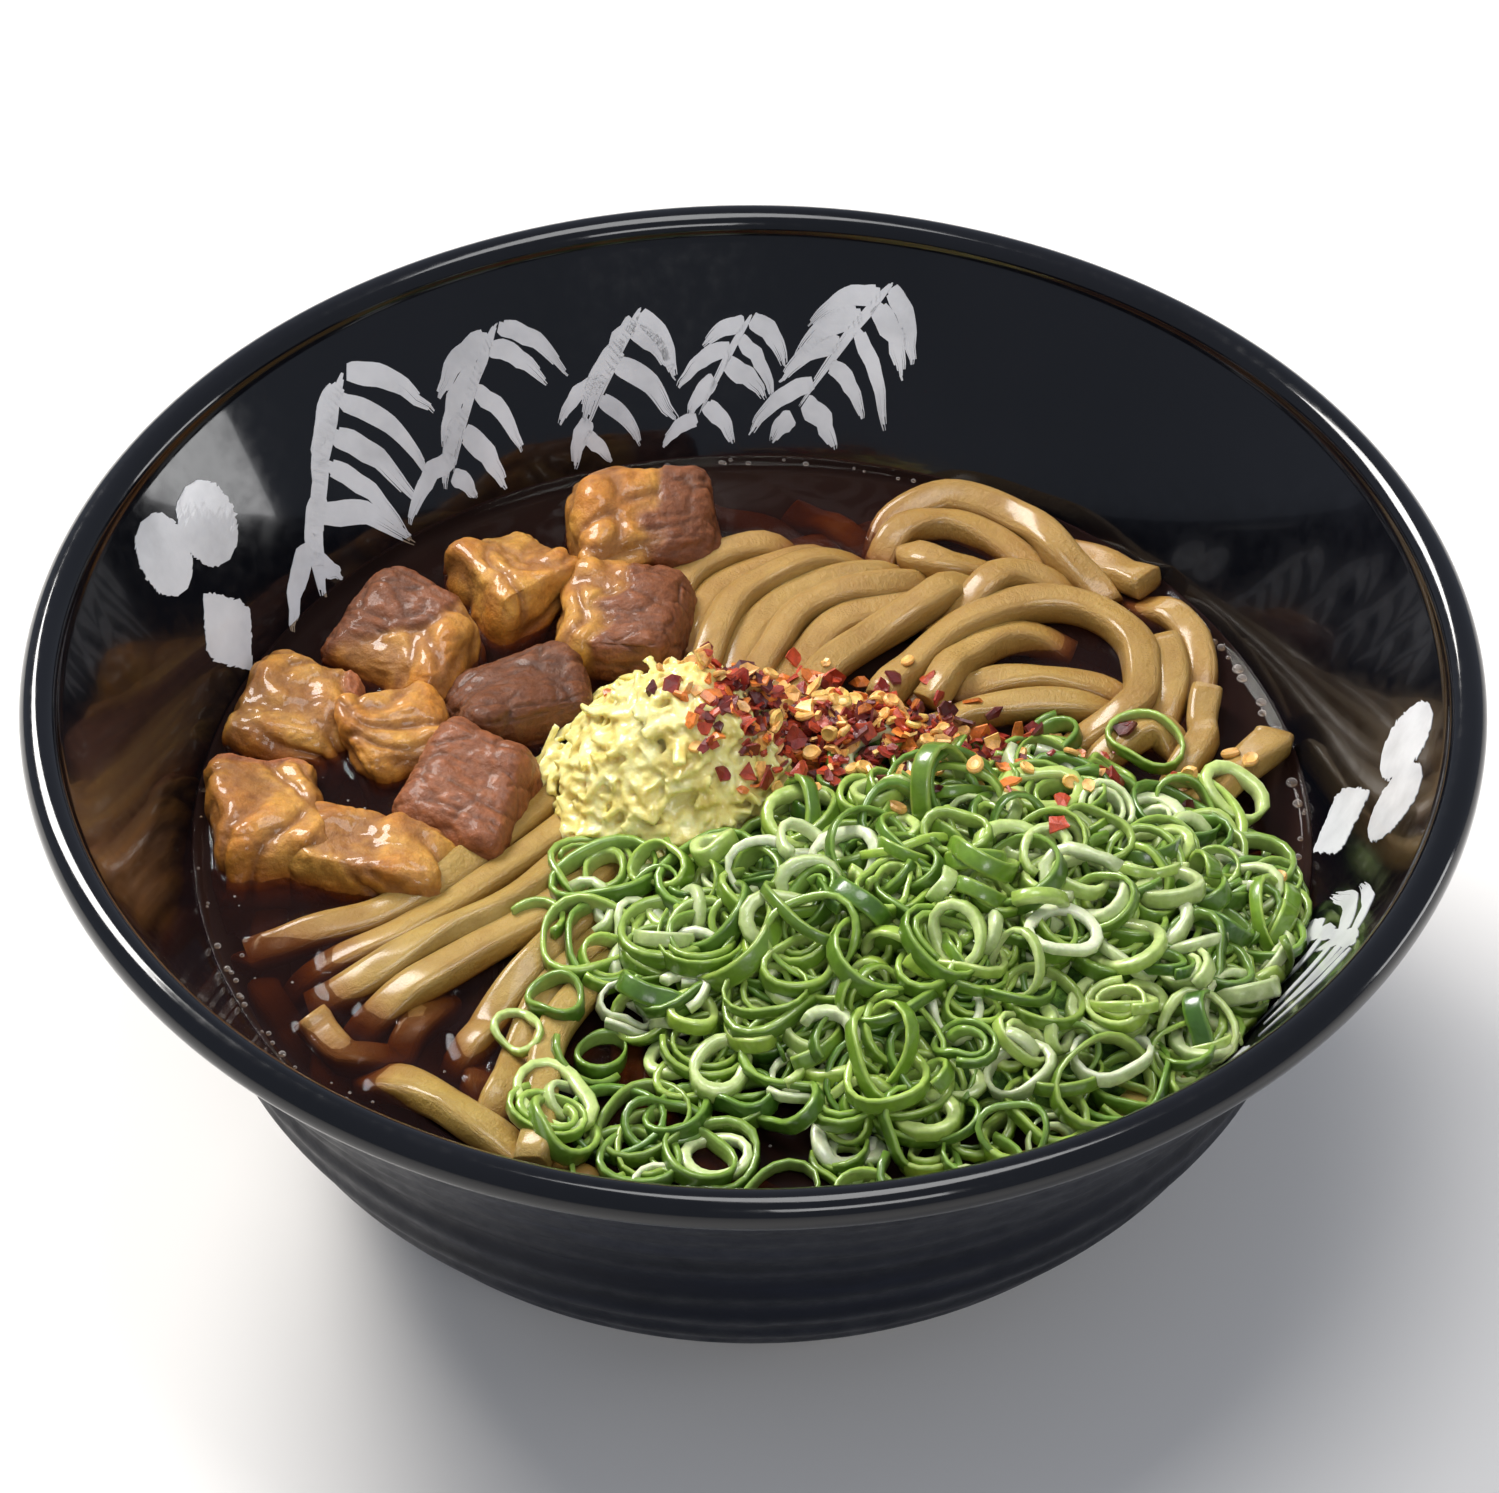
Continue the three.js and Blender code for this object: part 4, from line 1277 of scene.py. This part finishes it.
def flake():
    """A torn, curled scrap of pod wall."""
    n = rng.integers(5, 8)
    a = np.sort(rng.uniform(0, 2 * np.pi, n)) * 0.4 + full_turn(n) * 0.6
    r = rng.uniform(0.55, 1.0, n) * rng.uniform(0.9, 2.6)
    x, y = r * np.cos(a), r * np.sin(a) * rng.uniform(0.5, 1)
    curl = rng.uniform(-0.35, 0.35)
    z = curl * x * x + rng.normal(0, 0.1, n)
    thick = rng.uniform(0.16, 0.3)
    rim = np.stack([x, y, z], 1)
    middles = [(0, 0, thick * 1.3 - 0.1 * curl), (0, 0, -thick - 0.1 * curl)]
    points = np.vstack([rim + (0, 0, thick), rim - (0, 0, thick), middles])
    quads, caps = closed_rows(2, n, 0, 2 * n, 2 * n + 1)
    tone = POD_COLOURS[rng.choice(len(POD_COLOURS), p=POD_SHARES)] * rng.uniform(0.85, 1.4)
    tint = np.tile(tone, (len(points), 1))
    tint[n : 2 * n] = tone * 1.5 + 0.02
    return points, quads, caps, tint


def seed():
    """A flat round seed with a thick rim and a small beak."""
    sides = 12
    turn = full_turn(sides)
    size = rng.uniform(1.1, 1.55)
    beak = 1 + 0.16 * np.exp(-((turn - np.pi) ** 2) * 6)
    rows = []
    for out, up in ((0.45, 0.2), (0.8, 0.34), (1.0, 0.12), (1.0, -0.12), (0.8, -0.34), (0.45, -0.2)):
        flat = size * out * beak * np.cos(turn), size * out * 0.85 * np.sin(turn)
        rows.append(np.stack([*flat, up * size * np.ones(sides)], 1))
    points = np.vstack(rows + [[(0, 0, 0.17 * size)], [(0, 0, -0.17 * size)]])
    quads, caps = closed_rows(len(rows), sides, 0, len(points) - 2, len(points) - 1)
    tone = np.array([0.80, 0.50, 0.13]) * rng.uniform(0.75, 1.15) * (1, rng.uniform(0.85, 1.05), 1)
    return points, quads, caps, np.tile(tone, (len(points), 1))


def scatter(make, count, at, spread, lift):
    """Drops count things on the heap round a point, each on the face that it hits."""
    done = []
    while len(done) < count:
        x, y = at[0] + rng.normal(0, spread[0]), at[1] + rng.normal(0, spread[1])
        if math.hypot(x, y) > WALL_CLEAR:
            continue
        spot, out, _, _ = surface.ray_cast((x, y, 90), (0, 0, -1))
        if spot is None:
            continue
        straight = Vector((0, 0, 1))
        lean = straight.rotation_difference(out if out.z > 0.35 else straight).to_matrix()
        turn = np.array(lean) @ any_way(abs(rng.normal(0, 0.5)))
        points, quads, caps, tint = make()
        done.append((points @ turn.T + np.array(spot) + (0, 0, lift), quads, caps, tint))
    return done


def chilli_piece(name, things, material):
    """One piece of all the things."""
    points, faces = gather([t[:3] for t in things])
    tint = np.clip(np.vstack([t[3] for t in things]), 0, 1)
    piece = make_mesh(name, points, faces, [material], smooth=False, tint=tint)
    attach(piece, "root")
    return piece


dried_pod, tree, shader = finish(
    "dried_pod", (0.2, 0.02, 0.01), roughness=0.36, coat_weight=0.3, coat_roughness=0.2
)
crease = ramp(tree, noise(tree, 900, 4, 0.7), (0.3, (0.6, 0.6, 0.6)), (0.7, (1.3, 1.25, 1.2)))
drive(tree, shader, base_color=times(tree, own_tint(tree)["Color"], crease))
bumps(tree, shader, noise(tree, 1400, 4, 0.7), 0.6, 0.0003)

seed_coat, tree, shader = finish(
    "chilli_seed", (0.8, 0.5, 0.13), roughness=0.4, subsurface_weight=0.2, subsurface_scale=0.0008
)
speck = ramp(tree, noise(tree, 1200, 3), (0.3, (0.8, 0.78, 0.7)), (0.7, (1.1, 1.1, 1.1)))
drive(tree, shader, base_color=times(tree, own_tint(tree)["Color"], speck))

packed_flakes, tree, shader = finish("packed_flakes", (0.12, 0.02, 0.012), roughness=0.5)
reds = ramp(
    tree, noise(tree, 480, 3, 0.6),
    (0.3, (0.03, 0.005, 0.004)), (0.48, (0.13, 0.016, 0.009)),
    (0.6, (0.3, 0.05, 0.015)), (0.72, (0.5, 0.25, 0.06)),
)
drive(tree, shader, base_color=reds)
bumps(tree, shader, noise(tree, 700, 4, 0.6), 0.9, 0.0008)


def chilli_height(x, y):
    """Height of the top of the chilli's core."""
    hump = np.maximum(0, 1 - ((x - CHILLI_AT[0]) / 16) ** 2 - ((y - CHILLI_AT[1]) / 11) ** 2)
    return 53.5 + 9.0 * hump + 0.5 * np.sin(1.7 * x) * np.cos(1.9 * y)


points, *faces = mound(CHILLI_AT, oval(15, 10), chilli_height, 51.0, 22, 72)
chilli_heart = make_mesh("chilli_heap_heart", points, faces, [packed_flakes])
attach(chilli_heart, "root")

under = [noodles, *beef_pieces, ginger, broth, heart, onion_cuts["green"], onion_cuts["pale"], chilli_heart]
layers, flakes = [], []
for _ in range(5):
    surface = tree_of(*under, *layers)
    fall = []
    for count, at, spread in ((150, CHILLI_AT, CHILLI_SPREAD), (22, (0, 9), (5, 6)), (14, (36, 8), (15, 9))):
        fall += scatter(flake, count, at, spread, 0.25)
    flakes += fall
    points, faces = gather([t[:3] for t in fall])
    layers.append(make_mesh("layer", points, faces, []))
surface = tree_of(*under, *layers)
for layer in layers:
    bpy.data.objects.remove(layer)
seeds = scatter(seed, 46, CHILLI_AT, (11, 7), 0.4) + scatter(seed, 20, (34, 4), (18, 10), 0.4)
chilli_piece("chilli_flakes", flakes, dried_pod)
chilli_piece("chilli_seeds", seeds, seed_coat)

# ---------------------------------------------------------------------------------------------
# Froth. Small bubbles gathered against the wall, and specks of beef fat that float on the open
# broth. Both are thin caps of clear liquid.
# ---------------------------------------------------------------------------------------------
rng = np.random.default_rng(55)
bubble_film, tree, shader = finish("bubble_film", (0.5, 0.45, 0.42), roughness=0.03)
facing = add(tree, "LayerWeight", {"Blend": 0.5}).outputs["Facing"]
see_through(tree, shader, (0.95, 0.93, 0.9), remap(tree, facing, 0.1, 1.0, 0.1, 0.8))
drive(tree, shader, roughness=remap(tree, noise(tree, 900, 2), 0.3, 0.7, 0.02, 0.06))


def dome(x, y, z, radius, tall):
    """A low cap: a bubble when tall is near its radius, a drop of fat when it is flat."""
    sides = 14
    turn = full_turn(sides)
    rows = []
    for b in np.linspace(0, 1.25, 5):
        wide, up = radius * math.cos(b), tall * math.sin(b)
        rows.append(np.stack([wide * np.cos(turn), wide * np.sin(turn), up * np.ones(sides)], 1))
    points = np.vstack(rows + [[(0, 0, tall)], [(0, 0, 0)]]) + (x, y, z)
    return points, *closed_rows(len(rows), sides, 0, len(points) - 1, len(points) - 2, flip=True)


caps_of_liquid = []
for start, stop, count in ((-62, 62, 60), (150, 250, 40), (70, 100, 14)):
    for _ in range(count):
        a = math.radians(rng.uniform(start, stop))
        size = rng.uniform(0.3, 0.95 if start < 0 else 0.65) ** 1.2
        out = edge - size - rng.exponential(0.7)
        z = BROTH_LEVEL + math.exp(-(edge - out) / WALL_REACH)
        caps_of_liquid.append(dome(out * math.cos(a), out * math.sin(a), z, size, 0.8 * size))
for _ in range(260):
    a, out = math.radians(rng.uniform(170, 275)), 80 * math.sqrt(rng.uniform(0.35, 0.97))
    x, y = out * math.cos(a), out * math.sin(a)
    near = solids_in_broth.find_nearest((x, y, BROTH_LEVEL), 2.0)
    if near[0] is None:
        size = rng.uniform(0.1, 0.26)
        caps_of_liquid.append(dome(x, y, BROTH_LEVEL + 0.03, size, 0.4 * size))
points, faces = gather(caps_of_liquid)
froth = make_mesh("bubbles_and_fat", points, faces, [bubble_film])
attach(froth, "root")

# ---------------------------------------------------------------------------------------------
# Setting. A plain pale table top, a large soft light behind on the left, a wide one overhead and
# weak ones in front and low on the right. The camera looks down into the bowl from the eater's
# side.
# ---------------------------------------------------------------------------------------------
bpy.ops.mesh.primitive_plane_add(size=12, location=(0, 0, -0.0005))
table_top = bpy.context.active_object
table_top.name = "table_top"
pale, tree, shader = finish("pale_table", (0.86, 0.83, 0.79), roughness=0.6)
table_top.data.materials.append(pale)

world = bpy.data.worlds.new("studio")
world.use_nodes = True
sky = world.node_tree.nodes["Background"].inputs
sky["Color"].default_value = (0.8, 0.89, 1.08, 1)
sky["Strength"].default_value = 0.36
bpy.context.scene.world = world


def soft_light(name, place_at, size, power, color=(1, 1, 1), aim=0.05):
    """A rectangular light, its sizes in metres, that faces the bowl's axis at the height aim."""
    data = bpy.data.lights.new(name, "AREA")
    data.shape = "RECTANGLE"
    data.size, data.size_y = size
    data.energy = power
    data.color = color
    lamp = bpy.data.objects.new(name, data)
    bpy.context.scene.collection.objects.link(lamp)
    lamp.location = place_at
    lamp.rotation_euler = (Vector((0, 0, aim)) - Vector(place_at)).to_track_quat("-Z", "Y").to_euler()


soft_light("back_left_light", (-0.55, 0.62, 0.85), (0.5, 0.4), 17, (1.0, 0.98, 0.95))
soft_light("top_light", (0.1, 0.1, 1.2), (0.5, 0.5), 5.5)
soft_light("front_light", (0.3, -1.1, 0.9), (0.5, 0.3), 3.4)
soft_light("right_light", (1.15, 0.2, 0.18), (0.4, 0.2), 1.6, aim=0.06)

camera = bpy.data.objects.new("camera", bpy.data.cameras.new("camera"))
bpy.context.scene.collection.objects.link(camera)
camera.data.sensor_width = 36
camera.data.lens = 163.8
camera.data.clip_start = 0.05
down = math.radians(44.05)
camera.matrix_world = (
    Matrix.Translation((0, -0.7096, 0.7562))
    @ Matrix.Rotation(math.radians(0.04), 4, "Z")
    @ Matrix.Rotation(math.pi / 2 - down, 4, "X")
    @ Matrix.Rotation(math.radians(0.2), 4, "Z")
)
bpy.context.scene.camera = camera
bpy.context.scene.view_settings.view_transform = "Standard"
